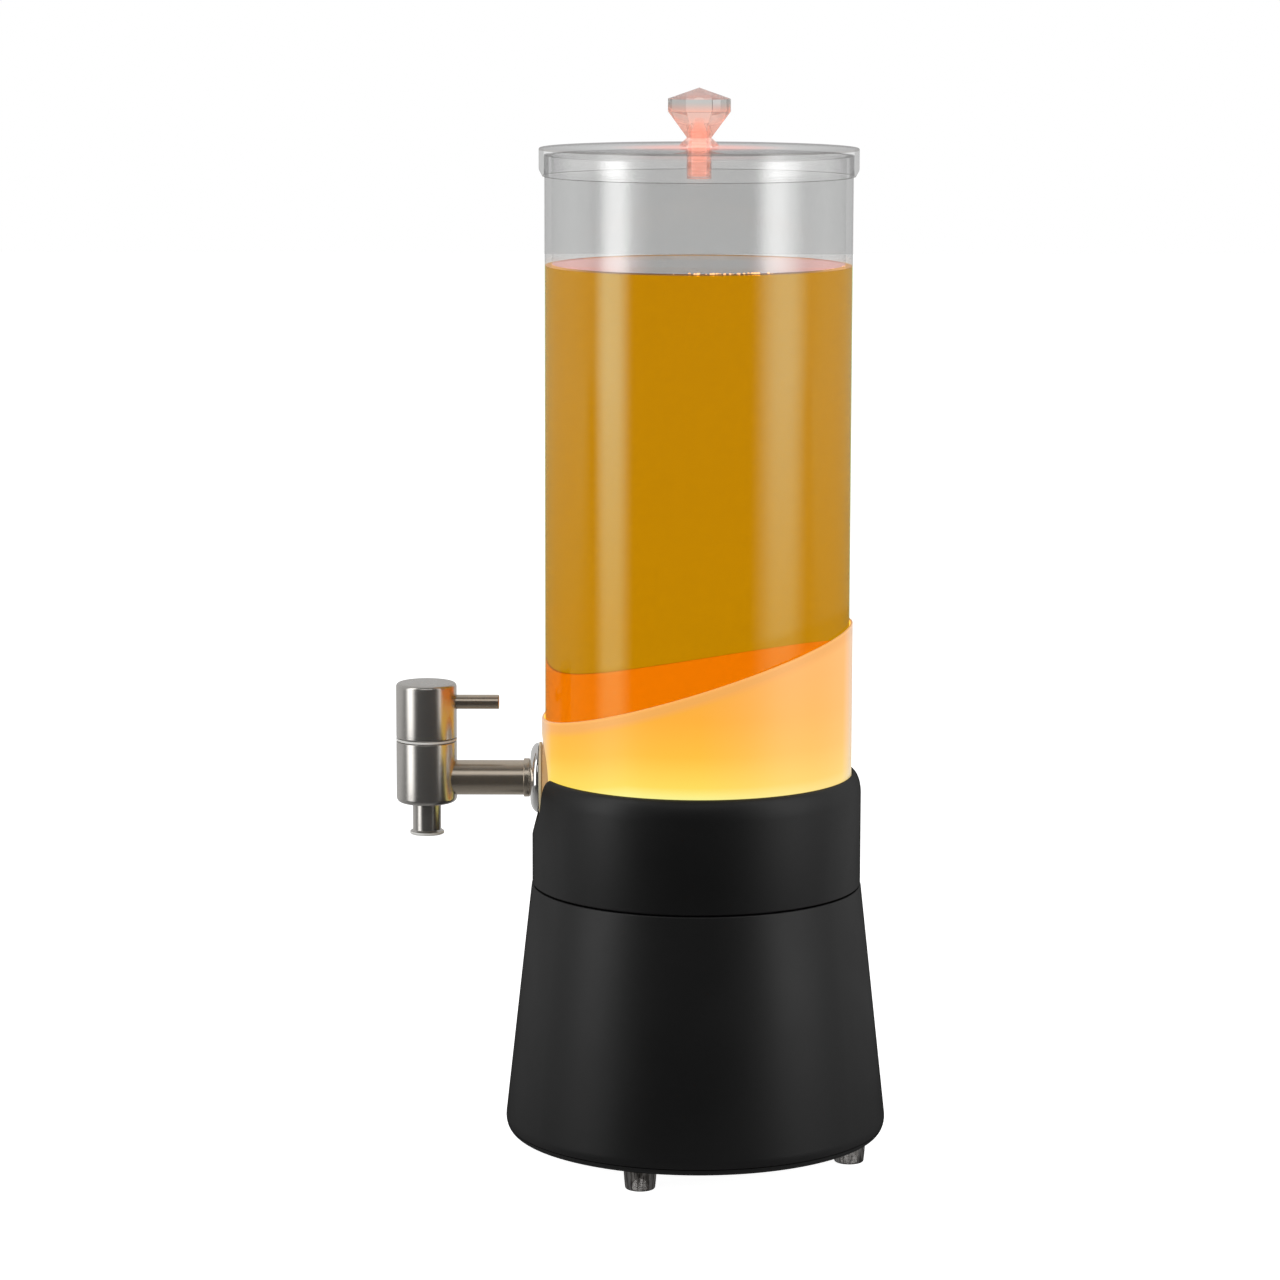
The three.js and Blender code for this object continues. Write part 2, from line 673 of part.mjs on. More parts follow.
const button = revolve([
  [0, -buttonProud],
  [buttonRadius - buttonGap, -buttonProud],
  [buttonRadius, buttonGap - buttonProud],
  [buttonRadius, buttonFlangeBottom],
  [buttonFlangeRadius, buttonFlangeBottom],
  [buttonFlangeRadius, buttonFlangeTop],
  [0, buttonFlangeTop],
], rodFacets);
addPiece('switch_button', button, blackRubber, base, [0, switchY, 0]);

// Leads: from the battery bay and from the switch up to the board, bowed out to one side of Y
function lead([fromX, fromY, fromZ], boardAngle, sideY) {
  const [[toX, toY]] = around(1, boardRadius - leadBoardInset, boardAngle);
  const rise = boardBottom - seatGap - fromZ;
  const path = new THREE.CatmullRomCurve3(leadShares.map(([up, outX, outY]) => new THREE.Vector3(
    fromX + (toX - fromX) * up + outX * rise,
    fromY + (toY - fromY) * up + sideY * outY * rise,
    fromZ + rise * up,
  )));
  const section = new THREE.Shape();
  for (let i = 0; i < leadSides; i += 1) {
    const angle = (i * circle) / leadSides;
    const [x, y] = [leadRadius * Math.cos(angle), leadRadius * Math.sin(angle)];
    if (i === 0) section.moveTo(x, y);
    else section.lineTo(x, y);
  }
  section.closePath();
  return solidOf(new THREE.ExtrudeGeometry(section, { steps: leadSteps, extrudePath: path }));
}
const roofTop = bayHeight + bayWall;
const roofEdgeY = bayMiddleY + bayWidth / 2 + bayWall;
const batteryLeadStart = [cellBayMiddleX - bayLength / 4, roofEdgeY - leadRoofInset, roofTop + seatGap];
addPiece('battery_lead', lead(batteryLeadStart, batteryLeadAngle, 1), leadSleeve, base);
const switchLeadStart = [0, switchY, switchTop + seatGap];
addPiece('switch_lead', lead(switchLeadStart, switchLeadAngle, -1), leadSleeve, base);

// Tank
const tapAboveTank = tapHeight - tankBottom;
const wallHole = alongTap(disc(armHoleRadius, armInnerEnd, tankRadius + cutOver, rodFacets));
addPiece(
  'tank_tube',
  ring(tankInnerRadius, tankRadius, 0, tankHeight).subtract(wallHole.translate([0, 0, tapAboveTank])),
  clearAcrylic,
  tank,
);
const tankFloor = disc(tankInnerRadius - seatGap, 0, tankFloorThickness, hiddenFacets);
addPiece('tank_floor', tankFloor, clearAcrylic, tank);

// Light sleeve: its upper edge is one slanted plane
function lightSleeve() {
  const lowHeight = tapAboveTank + sleeveHoleRadius + sleeveAboveHole;
  const sleeveMiddleHeight = lowHeight + sleeveSlopeShare * sleeveRadius;
  const outline = [
    [sleeveInnerRadius, 0],
    [sleeveRadius, 0],
    [sleeveRadius, sleeveMiddleHeight],
    [sleeveInnerRadius, sleeveMiddleHeight],
    [sleeveInnerRadius, 0],
  ].map(([r, z]) => new THREE.Vector2(r, z));
  const geometry = new THREE.LatheGeometry(outline, ringFacets).rotateX(Math.PI / 2);
  const places = geometry.getAttribute('position');
  for (let i = 0; i < places.count; i += 1) {
    const aboveMiddle = places.getZ(i) > sleeveMiddleHeight / 2;
    if (aboveMiddle) places.setZ(i, sleeveMiddleHeight + sleeveSlopeShare * places.getX(i));
  }
  const hole = alongTap(disc(sleeveHoleRadius, armInnerEnd, sleeveRadius + cutOver, 2 * rodFacets));
  return solidOf(geometry).subtract(hole.translate([0, 0, tapAboveTank]));
}
addPiece('light_sleeve', lightSleeve(), frostedAcrylic, tank);

// Tap's mount: a saddle-backed boss, gaskets, a domed washer and a nut inside the tank
const saddle = (radius, reach) => disc(radius, -reach - cutOver, reach + cutOver, 2 * ringFacets);
const outerSaddle = saddle(tankRadius + seatGap, bossBaseRadius);
const innerSaddle = saddle(tankInnerRadius - seatGap, nutRadius);
const armHole = alongTap(disc(armHoleRadius, armInnerEnd, tapReach, rodFacets));

const mountBoss = alongTap(revolve([
  [0, armInnerEnd],
  [bossBaseRadius, armInnerEnd],
  [bossBaseRadius, bossFaceReach - bossSlopeDepth],
  [bossFaceRadius, bossFaceReach],
  [0, bossFaceReach],
], rodFacets)).subtract(outerSaddle).subtract(armHole);
addPiece('tap_boss', mountBoss, amberAcrylic, tap);

const outerGasketInner = bossFaceReach + seatGap;
const outerGasketOuter = outerGasketInner + outerGasketThickness;
addPiece(
  'outer_gasket',
  alongTap(ring(armHoleRadius, outerGasketRadius, outerGasketInner, outerGasketOuter, rodFacets)),
  paleSilicone,
  tap,
);

const domeTopRadius = armHoleRadius + domeTopWidth;
const domeBulge = domeRadius - domeTopRadius;
const dome = alongTap(revolve([
  [domeRadius - domeWall, domeFoot],
  ...arc(domeTopRadius, domeFoot, domeBulge, domeHeight, 0, 90),
  [armHoleRadius, domeTop],
  [armHoleRadius, domeTop - domeWall],
  ...arc(domeTopRadius, domeFoot, domeBulge - domeWall, domeHeight - domeWall, 90, 0).slice(0, -1),
], rodFacets));
addPiece('escutcheon', dome, brightSteel, tap);

const gasketRing = ring(armHoleRadius, nutRadius, innerGasketReach, tankRadius, rodFacets);
const innerGasket = alongTap(gasketRing).intersect(innerSaddle);
addPiece('inner_gasket', innerGasket, paleSilicone, tap);

addPiece(
  'lock_nut',
  alongTap(disc(nutRadius, nutFace - nutThickness, nutFace, nutSides).subtract(
    disc(armHoleRadius, nutFace - nutThickness - cutOver, nutFace + cutOver, rodFacets),
  )),
  brightSteel,
  tap,
);

// Tap's body: an upright barrel with a valve chamber, and the arm with its bead
const armBoreRadius = armRadius - armWall;
const chamberRadius = bodyRadius - bodyWall;
const chamberBelowArm = bodyBelowArm - bodyFloor;
const nozzleThreadRadius = nozzleRadius - nozzleThreadDepth;

function tapBody() {
  const flatRadius = bodyRadius - bodyEdgeRound;
  const barrel = revolve([
    [0, -bodyBelowArm],
    ...arc(flatRadius, bodyEdgeRound - bodyBelowArm, bodyEdgeRound, bodyEdgeRound, -90, 0),
    [bodyRadius, bodyAboveArm - bodyTopChamfer],
    [bodyRadius - bodyTopChamfer, bodyAboveArm],
    [0, bodyAboveArm],
  ], rodFacets).translate([-tapReach, 0, 0]);
  const arm = alongTap(disc(armRadius, armInnerEnd, tapReach, rodFacets));
  const beadRadius = armRadius + beadProud;
  const bead = alongTap(disc(beadRadius, beadStart, beadStart + beadWidth, rodFacets));
  const bore = alongTap(disc(armBoreRadius, armInnerEnd - cutOver, tapReach, rodFacets / 2));
  const chamber = disc(chamberRadius, -chamberBelowArm, bodyAboveArm + cutOver, rodFacets);
  const outlet = disc(nozzleThreadRadius + seatGap, -bodyBelowArm - cutOver, 0, rodFacets);
  return barrel.add(arm).add(bead).subtract(bore)
    .subtract(chamber.add(outlet).translate([-tapReach, 0, 0]));
}
addPiece('tap_body', tapBody(), steel, tap);

// Nozzle: a short tube with a flared lip, screwed into the barrel's floor
const nozzleTop = -bodyBelowArm - seatGap;
const nozzleBottom = -bodyBelowArm - nozzleLength;
const nozzleThreadTop = nozzleTop + bodyFloor - seatGap;
const nozzleBoreRadius = nozzleRadius - nozzleWall;
const nozzleLipRadius = nozzleRadius + nozzleLipProud;
const nozzle = revolve([
  [nozzleBoreRadius, nozzleBottom],
  [nozzleLipRadius - nozzleLipEdge, nozzleBottom],
  [nozzleLipRadius, nozzleBottom + nozzleLipEdge],
  [nozzleLipRadius, nozzleBottom + 2 * nozzleLipEdge],
  [nozzleRadius, nozzleBottom + nozzleLipHeight],
  [nozzleRadius, nozzleTop],
  [nozzleThreadRadius, nozzleTop],
  [nozzleThreadRadius, nozzleThreadTop],
  [nozzleBoreRadius, nozzleThreadTop],
], rodFacets);
addPiece('nozzle', nozzle, steel, tap, [-tapReach, 0, 0]);

// Pale washer in the line between barrel and head, and the ring that keeps the valve in
const stemHoleRadius = stemRadius + seatGap;
const washerBottom = bodyAboveArm + seatGap;
addPiece(
  'tap_washer',
  ring(stemHoleRadius, bodyRadius, washerBottom, washerBottom + washerThickness, rodFacets),
  palePolymer,
  tap,
  [-tapReach, 0, 0],
);
const plugRadius = chamberRadius - seatGap;
const retainerTop = bodyAboveArm - retainerSink;
const retainerBottom = retainerTop - retainerHeight;
const plugTop = retainerBottom - seatGap;
addPiece(
  'valve_retainer',
  ring(stemHoleRadius, plugRadius, retainerBottom, retainerTop, rodFacets),
  brightSteel,
  tap,
  [-tapReach, 0, 0],
);

// Turning head, its lever, and the valve plug with its seal
const headStart = headBottom - tapHeight;
const headEnd = headStart + headHeight;
const stemTop = headEnd - headCap - seatGap;
const leverLevel = headEnd - leverDrop;
const leverReach = bodyRadius + leverProud;
const leverHole = disc(leverRadius + seatGap, leverRoot - seatGap, leverReach, rodFacets / 2)
  .rotate([0, 90, 0]).translate([0, 0, leverLevel]);

const headShell = revolve([
  [bodyRadius - headBottomChamfer, headStart],
  [bodyRadius, headStart + headBottomChamfer],
  ...arc(bodyRadius - headEdgeRound, headEnd - headEdgeRound, headEdgeRound, headEdgeRound, 0, 90),
  [0, headEnd],
  [0, headEnd - headCap],
  [stemHoleRadius, headEnd - headCap],
  [stemHoleRadius, headStart],
], rodFacets);
addPiece('tap_head', headShell.subtract(leverHole), steel, head);

const leverRod = revolve([
  [0, leverRoot],
  [leverRadius, leverRoot],
  [leverRadius, leverReach - leverEdge],
  [leverRadius - leverEdge, leverReach],
  [0, leverReach],
], rodFacets / 2).rotate([0, 90, 0]).translate([0, 0, leverLevel]);
addPiece('tap_lever', leverRod, steel, head);

const sealHeight = plugTop - sealDrop;

function valvePlug() {
  const grooveDepth = 2 * sealTube + seatGap;
  const grooveHalf = sealTube + seatGap;
  const plugBottom = seatGap - chamberBelowArm;
  const plug = revolve([
    [0, plugBottom],
    [plugRadius, plugBottom],
    [plugRadius, sealHeight - grooveHalf],
    [plugRadius - grooveDepth, sealHeight - grooveHalf],
    [plugRadius - grooveDepth, sealHeight + grooveHalf],
    [plugRadius, sealHeight + grooveHalf],
    [plugRadius, plugTop],
    [stemRadius, plugTop],
    [stemRadius, stemTop],
    [0, stemTop],
  ], rodFacets);
  // Closed, the side port faces +Y; a quarter turn brings it round to the arm's bore
  const plugPortRadius = armBoreRadius - seatGap;
  const sidePort = disc(plugPortRadius, 0, chamberRadius + cutOver, rodFacets / 2).rotate([-90, 0, 0]);
  const bottomPort = disc(plugPortRadius, plugBottom - cutOver, plugPortRadius / 2, rodFacets / 2);
  return plug.subtract(sidePort).subtract(bottomPort).subtract(leverHole);
}
addPiece('valve_plug', valvePlug(), palePolymer, head);

const sealMiddle = plugRadius - sealTube;
const seal = solidOf(new THREE.TorusGeometry(sealMiddle, sealTube, sealFacets, rodFacets));
addPiece('plug_seal', seal, blackRubber, head, [0, 0, sealHeight]);

// Lid: a disc with a skirt over the tube's rim; height zero is its top
const lidUnder = -lidThickness;
const lidInnerRadius = tankRadius + seatGap;
const lidRadius = lidInnerRadius + lidWall;
const lidSkirtEnd = lidUnder - lidSkirtDepth;
const lidCap = revolve([
  [knobStemRadius + seatGap, lidUnder],
  [lidInnerRadius, lidUnder],
  [lidInnerRadius, lidSkirtEnd],
  [lidRadius - lidChamferWidth, lidSkirtEnd],
  [lidRadius, lidSkirtEnd + lidChamferHeight],
  [lidRadius, -lidEdgeRound],
  [lidRadius - lidEdgeRound, 0],
  [knobStemRadius + seatGap, 0],
]);
addPiece('lid_cap', lidCap, clearAcrylic, lid);

const stone = revolve([
  [0, knobNeckHeight - cutOver],
  [knobNeckRadius, knobNeckHeight - cutOver],
  [knobNeckRadius, knobNeckHeight],
  [knobRadius, knobHeight - knobCrownHeight - knobGirdleHeight],
  [knobRadius, knobHeight - knobCrownHeight],
  [0, knobHeight],
], knobFacets);
const knobFoot = revolve([
  [0, -knobStemLength],
  [knobStemRadius, -knobStemLength],
  [knobStemRadius, seatGap],
  [knobFootRadius, seatGap],
  [knobFootRadius, seatGap + knobFootEdge],
  [knobStemRadius, knobNeckHeight],
  [0, knobNeckHeight],
], rodFacets);
addPiece('knob', stone.add(knobFoot), clearAcrylic, lid);

export default tower;
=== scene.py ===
# %% [markdown]
# # A lit drinks tower, piece by piece
# The object is a tall clear tube of drink that stands in a black base with lamps in it. A frosted sleeve
# with a slanted top edge glows round the tube's foot, a clear lid with a cut knob closes the top, and a
# small steel tap sits on the left. The CAD model gives every place and size; this file makes the finer
# pieces and the finishes.

# %% Tools, frame and units
import math

import bmesh
import bpy
from mathutils import Matrix, Vector


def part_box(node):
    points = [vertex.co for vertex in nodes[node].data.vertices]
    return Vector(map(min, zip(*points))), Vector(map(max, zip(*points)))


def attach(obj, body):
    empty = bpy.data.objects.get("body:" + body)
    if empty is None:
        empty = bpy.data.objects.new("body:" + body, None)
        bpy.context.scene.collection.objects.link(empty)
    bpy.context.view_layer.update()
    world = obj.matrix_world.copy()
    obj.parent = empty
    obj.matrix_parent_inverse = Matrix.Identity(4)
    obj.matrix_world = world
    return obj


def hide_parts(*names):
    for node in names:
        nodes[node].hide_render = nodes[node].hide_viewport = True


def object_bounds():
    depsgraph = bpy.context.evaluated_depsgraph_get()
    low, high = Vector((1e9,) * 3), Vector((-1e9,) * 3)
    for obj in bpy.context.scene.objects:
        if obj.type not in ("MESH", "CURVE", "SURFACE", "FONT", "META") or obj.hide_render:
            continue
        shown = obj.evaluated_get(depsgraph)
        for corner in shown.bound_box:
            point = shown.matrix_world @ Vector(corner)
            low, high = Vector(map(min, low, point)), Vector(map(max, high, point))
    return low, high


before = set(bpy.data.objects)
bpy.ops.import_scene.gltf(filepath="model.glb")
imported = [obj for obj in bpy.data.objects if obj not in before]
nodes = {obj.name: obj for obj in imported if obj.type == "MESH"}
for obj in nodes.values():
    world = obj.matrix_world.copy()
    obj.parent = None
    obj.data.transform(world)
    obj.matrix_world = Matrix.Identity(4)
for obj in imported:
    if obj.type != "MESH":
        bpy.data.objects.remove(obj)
cad_box = [list(corner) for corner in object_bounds()]
mm = 0.001
quarter_turn = math.pi / 2


def placed(name, data):
    """Put a new object with this data into the scene."""
    thing = bpy.data.objects.new(name, data)
    bpy.context.scene.collection.objects.link(thing)
    return thing


print("frame loaded:", len(nodes), "CAD nodes")

# %% [markdown]
# ## The photographer's camera
# The photograph looks a little down at the tower through a long lens. The camera is set where that view
# comes from, as a place, a tilt and a focal length, so that every later choice can be compared with the
# photograph.

# %% Camera
camera_place = (-24.43 * mm, -1794.44 * mm, 494.42 * mm)
camera_drop, camera_roll = 8.887, 0.11
camera_data = bpy.data.cameras.new("camera")
camera_data.lens = 119.48
camera_data.sensor_width = 36
camera_data.clip_end = 200
camera = placed("camera", camera_data)
tilt = Matrix.Rotation(math.radians(90 - camera_drop), 4, "X")
roll = Matrix.Rotation(math.radians(camera_roll), 4, "Z")
camera.matrix_world = Matrix.Translation(camera_place) @ (tilt @ roll)
bpy.context.scene.camera = camera
bpy.context.scene.view_settings.view_transform = "Standard"
print("camera at", [round(v, 3) for v in camera_place])

# %% [markdown]
# ## Nodes
# The room and every finish are made of nodes. These helpers add and join them, so that each finish reads as
# a short recipe. All patterns use the object's own coordinates, so they stay on the piece from every side.

# %% Adding and joining nodes
work = {}


def begin(tree):
    """Empty a node tree; new nodes go into the tree that was begun last."""
    tree.nodes.clear()
    work["tree"] = tree


def join(value, socket):
    """Set a socket to a value, or wire a (node, output) pair to it; a node alone gives its first output."""
    if isinstance(value, bpy.types.Node):
        value = (value, next(i for i, output in enumerate(value.outputs) if output.enabled))
    if isinstance(value, tuple) and isinstance(value[0], bpy.types.Node):
        work["tree"].links.new(value[0].outputs[value[1]], socket)
    else:
        socket.default_value = (*value, 1) if socket.type == "RGBA" else value


def put(kind, inputs=None, **settings):
    """Add a node; its inputs are values, nodes or (node, output) pairs. A shader node's kind is cut short."""
    node = work["tree"].nodes.new(kind if "Node" in kind else "ShaderNode" + kind)
    for key, value in settings.items():
        setattr(node, key, value)
    for key, value in (inputs or {}).items():
        join(value, node.inputs[key])
    return node


print("nodes can be added and joined")


# %% Sums, mixes and colours
def sums(operation, *values, clamp=False):
    """A maths node."""
    return put("Math", dict(enumerate(values)), operation=operation, use_clamp=clamp)


def ranged(source, low, high, start=0.0, end=1.0, smooth=False):
    """Map a value that goes from start to end to the range from low to high."""
    inputs = {"Value": source, "From Min": start, "From Max": end, "To Min": low, "To Max": high}
    return put("MapRange", inputs, interpolation_type="SMOOTHSTEP" if smooth else "LINEAR")


def mixed(share, first, second):
    """Mix two colours."""
    return put("Mix", {0: share, 6: first, 7: second}, data_type="RGBA")


def blended(share, first, second):
    """Mix two shaders."""
    return put("MixShader", {0: share, 1: first, 2: second})


def added(first, second):
    """Add two shaders."""
    return put("AddShader", {0: first, 1: second})


def glow(colour, strength=1.0):
    """A light of its own."""
    return put("Emission", {"Color": colour, "Strength": strength})


def ramped(source, stops, interpolation="LINEAR"):
    """Colours along a value from 0 to 1, by (value, colour) stops that start at 0."""
    node = put("ValToRGB", {"Fac": source})
    ramp = node.color_ramp
    ramp.interpolation = interpolation
    ramp.elements.remove(ramp.elements[1])
    ramp.elements[0].color = (*stops[0][1], 1)
    for value, colour in stops[1:]:
        ramp.elements.new(value).color = (*colour, 1)
    return node


def looks():
    """The kinds of rays, and 1 for those that look at a thing, also through clear plastic."""
    rays = put("LightPath")
    return rays, sums("MAXIMUM", (rays, "Is Camera Ray"), (rays, "Is Transmission Ray"))


print("sums, mixes and colours ready")


# %% Patterns on a piece
def on_piece():
    """The object's own coordinates."""
    return put("TexCoord"), "Object"


def upright():
    """The object's own coordinates, split into X, Y and Z."""
    return put("SeparateXYZ", {"Vector": on_piece()})


def grain_of(scale, detail=2.0, stretch=(1, 1, 1)):
    """Noise on the object; stretch makes it long and thin."""
    mapping = put("Mapping", {"Vector": on_piece(), "Scale": stretch})
    return put("TexNoise", {"Vector": mapping, "Scale": scale, "Detail": detail})


def by_height(low, high, start, end):
    """A value that changes with the height in mm."""
    return ranged((upright(), "Z"), low, high, start * mm, end * mm)


def off_middle(low, high, start, end, smooth=False):
    """A value that changes with the mm to the left or right of the axis."""
    return ranged(sums("ABSOLUTE", (upright(), "X")), low, high, start * mm, end * mm, smooth)


def off_axis(low, high, start, end, smooth=False):
    """A value that changes with the distance in mm from the tower's axis."""
    flat = put("Mapping", {"Vector": on_piece(), "Scale": (1, 1, 0)})
    return ranged(put("VectorMath", {0: flat}, operation="LENGTH"), low, high, start * mm, end * mm, smooth)


print("patterns ready")


# %% Slant, bumps and whole finishes
def slant():
    """How edge-on a face is seen."""
    return put("LayerWeight", {"Blend": 0.5}), "Facing"


def edge_on(low, high, start, end):
    """A value that changes as a face is seen more edge-on."""
    return ranged(slant(), low, high, start, end)


def mirror_share(power, at_slant, straight_on, clamp=False):
    """How much a clear face mirrors: little when seen straight on and more at a slant."""
    return sums("MULTIPLY_ADD", sums("POWER", slant(), power), at_slant, straight_on, clamp=clamp)


def bumped(source, strength, depth):
    """A bump, depth in metres."""
    return put("Bump", {"Height": source, "Strength": strength, "Distance": depth})


def lets_lamps_through(shader, colour):
    """For shadows the piece is only a tinted clear face, or it would be as dark as a solid one."""
    return blended((put("LightPath"), "Is Shadow Ray"), shader, put("BsdfTransparent", {"Color": colour}))


def new_finish(name):
    """Begin a material."""
    work["finish"] = bpy.data.materials.new(name)
    work["finish"].use_nodes = True
    begin(work["finish"].node_tree)


def closed(shader):
    """End the material with its last shader."""
    put("OutputMaterial", {"Surface": shader})
    print("finish made:", work["finish"].name)
    return work["finish"]


print("finishes can be made")

# %% [markdown]
# ## Studio
# The tower is photographed against pure white, between two tall soft boxes, with nothing bright behind the
# camera. That gives clear plastic and steel their two upright highlights and a dark middle. The white
# itself is painted into the world and the floor for the rays that look at it, so it puts no extra light on
# the object.

# %% World
room_front, room_back = 0.04, 0.6
ambient = 0.36
world = bpy.data.worlds.new("studio")
bpy.context.scene.world = world
world.use_nodes = True
begin(world.node_tree)
# In reflections the room is dark in front and light at the back; as light it is an even grey
side = put("SeparateXYZ", {"Vector": put("TexCoord")})
room = ranged((side, "Y"), room_front, room_back, -0.5, 0.3)
rays, seen = looks()
plain = put("Mix", {"Factor": (rays, "Is Glossy Ray"), "A": ambient, "B": room}, data_type="FLOAT")
strength = put("Mix", {"Factor": seen, "A": plain, "B": 1.0}, data_type="FLOAT")
put("OutputWorld", {"Surface": put("Background", {"Color": (1, 1, 1), "Strength": strength})})
print("world set, ambient", ambient)

# %% Soft boxes and strip
box_distance, box_height = 0.65, 1.1
strip_distance, strip_width, strip_height = 1.2, 0.9, 0.5
strip_rise = math.radians(40)


def area_lamp(name, width, height, radiance, spot, turn):
    """A flat lamp that is itself not seen."""
    lamp = bpy.data.lights.new(name, "AREA")
    lamp.shape = "RECTANGLE"
    lamp.size = width
    lamp.size_y = height
    lamp.energy = radiance * math.pi * width * height
    holder = placed(name, lamp)
    holder.matrix_world = Matrix.Translation(spot) @ turn
    holder.visible_camera = False
    holder.visible_transmission = False
    return lamp


def soft_box(name, from_angle, to_angle, radiance, core):
    """A tall lamp between two angles round the tower from the camera; it fades out beside a core."""
    middle = math.radians((from_angle + to_angle) / 2)
    width = 2 * box_distance * math.tan(math.radians(abs(to_angle - from_angle) / 2))
    spot = (math.sin(middle) * box_distance, -math.cos(middle) * box_distance, box_height / 2)
    turn = Matrix.Rotation(middle, 4, "Z") @ Matrix.Rotation(quarter_turn, 4, "X")
    lamp = area_lamp(name, width, box_height, radiance, spot, turn)
    lamp.use_nodes = True
    begin(lamp.node_tree)
    across = put("SeparateXYZ", {"Vector": (put("NewGeometry"), "Parametric")})
    off_centre = sums("ABSOLUTE", sums("SUBTRACT", (across, "X"), 0.5))
    fall = ranged(off_centre, 0.0, 1.0, 0.5, core / 2, smooth=True)
    put("OutputLight", {"Surface": glow((1, 1, 1), fall)})


soft_box("left_box", -83, -47.5, 2.7, 0.2)
soft_box("right_box", 36.5, 88.5, 2.2, 0.12)
# A strip over the camera gives the tap's level arm its one light line
spot = (-0.05, -strip_distance * math.cos(strip_rise), 0.15 + strip_distance * math.sin(strip_rise))
turn = Matrix.Rotation(quarter_turn - strip_rise, 4, "X")
area_lamp("front_strip", strip_width, strip_height, 0.9, spot, turn)
print("soft boxes and strip,", len(bpy.data.lights), "lamps")

# %% Floor
foot_face = cad_box[0][2]
reach, floor_glow = 6, 0.96
floor_mesh = bpy.data.meshes.new("floor")
corners = [(x * reach, y * reach, foot_face) for x, y in ((-1, -1), (1, -1), (1, 1), (-1, 1))]
floor_mesh.from_pydata(corners, [], [(0, 1, 2, 3)])
floor = placed("floor", floor_mesh)
new_finish("white paper")
rays, seen = looks()
sheet = put("BsdfDiffuse", {"Color": ranged(grain_of(40, 3), 0.78, 0.82)})
paper = added(sheet, glow((1, 1, 1), sums("MULTIPLY", seen, floor_glow)))
# In reflections the paper is light behind the tower and fades into the dark front of the room
mirrored = glow((1, 1, 1), ranged((upright(), "Y"), room_front, room_back, -0.25, 0.35))
only_mirror = sums("SUBTRACT", (rays, "Is Glossy Ray"), (rays, "Is Transmission Ray"), clamp=True)
floor_mesh.materials.append(closed(blended(only_mirror, paper, mirrored)))
print("floor at", round(foot_face, 4))

# %% [markdown]
# ## Turned shapes
# Nearly everything here is round, so one helper turns an outline about the upright axis. A corner of the
# outline may carry a rounding, because no moulded or turned edge is really sharp, and that small curve
# catches the light.

# %% Turning an outline
round_steps, fine_steps, tap_steps, ring_steps, hole_steps = 160, 192, 128, 96, 48
tap_height = 154


def softened(outline, closed_loop):
    """Round the corners of (radius, height, rounding) points with short curves."""
    points = []
    count = len(outline)
    for i, corner in enumerate(outline):
        here = Vector(corner[:2])
        rounding = corner[2] if len(corner) > 2 else 0
        if not rounding or (not closed_loop and i in (0, count - 1)):
            points.append(here)
            continue
        before = (Vector(outline[i - 1][:2]) - here).normalized() * rounding + here
        after = (Vector(outline[(i + 1) % count][:2]) - here).normalized() * rounding + here
        for step in range(5):
            t = step / 4
            points.append(before * (1 - t) ** 2 + here * 2 * t * (1 - t) + after * t ** 2)
    return points


def arc(middle_radius, middle_height, width, height, start, end, steps=10):
    """Part of an ellipse between two angles in degrees, as outline points."""
    angles = [math.radians(start + (end - start) * i / steps) for i in range(steps + 1)]
    return [(middle_radius + width * math.cos(a), middle_height + height * math.sin(a)) for a in angles]


def turned(outline, steps=round_steps):
    """A closed outline in mm, turned about the upright axis into a closed mesh."""
    on_axis = outline[0][0] == 0 and outline[-1][0] == 0
    points = softened(outline, not on_axis)
    angles = [math.tau * i / steps for i in range(steps)]
    bm = bmesh.new()
    rings = []
    for radius, height in points:
        spots = angles if radius else [0]
        rings.append([
            bm.verts.new((radius * mm * math.cos(a), radius * mm * math.sin(a), height * mm)) for a in spots
        ])
    pairs = list(zip(rings, rings[1:]))
    if not on_axis:
        pairs.append((rings[-1], rings[0]))
    for low, high in pairs:
        for i in range(steps):
            j = (i + 1) % steps
            corners = [low[i % len(low)], low[j % len(low)], high[j % len(high)], high[i % len(high)]]
            face = list(dict.fromkeys(corners))
            if len(face) > 2:
                bm.faces.new(face)
    bmesh.ops.recalc_face_normals(bm, faces=bm.faces)
    return bm


print("outlines can be turned")


# %% Simple shapes and their places
def disc(radius, low, high, steps=round_steps, inner=0, soft=(0, 0)):
    """A plain round block or ring; soft rounds its outer corners below and above."""
    return turned([(inner, low), (radius, low, soft[0]), (radius, high, soft[1]), (inner, high)], steps)


def block(size, middle):
    """A plain square block, in mm."""
    bm = bmesh.new()
    bmesh.ops.create_cube(bm, size=1)
    bmesh.ops.scale(bm, vec=Vector(size) * mm, verts=bm.verts)
    bmesh.ops.translate(bm, vec=Vector(middle) * mm, verts=bm.verts)
    return bm


def moved(bm, x=0, y=0, z=0):
    """Shift a mesh by mm."""
    bmesh.ops.translate(bm, vec=Vector((x, y, z)) * mm, verts=bm.verts)
    return bm


def laid(bm, turn):
    """Lay an upright mesh down along X."""
    bmesh.ops.transform(bm, matrix=Matrix.Rotation(turn, 4, "Y"), verts=bm.verts)
    return bm


def along_tap(bm):
    """Lay an upright mesh down so that its height runs out along the tap."""
    return moved(laid(bm, -quarter_turn), z=tap_height)


print("discs and blocks ready")


# %% Making, cutting and handing over a piece
def made(name, bm):
    """Turn a bmesh into an object in the scene."""
    mesh = bpy.data.meshes.new(name)
    bm.to_mesh(mesh)
    bm.free()
    return placed(name, mesh)


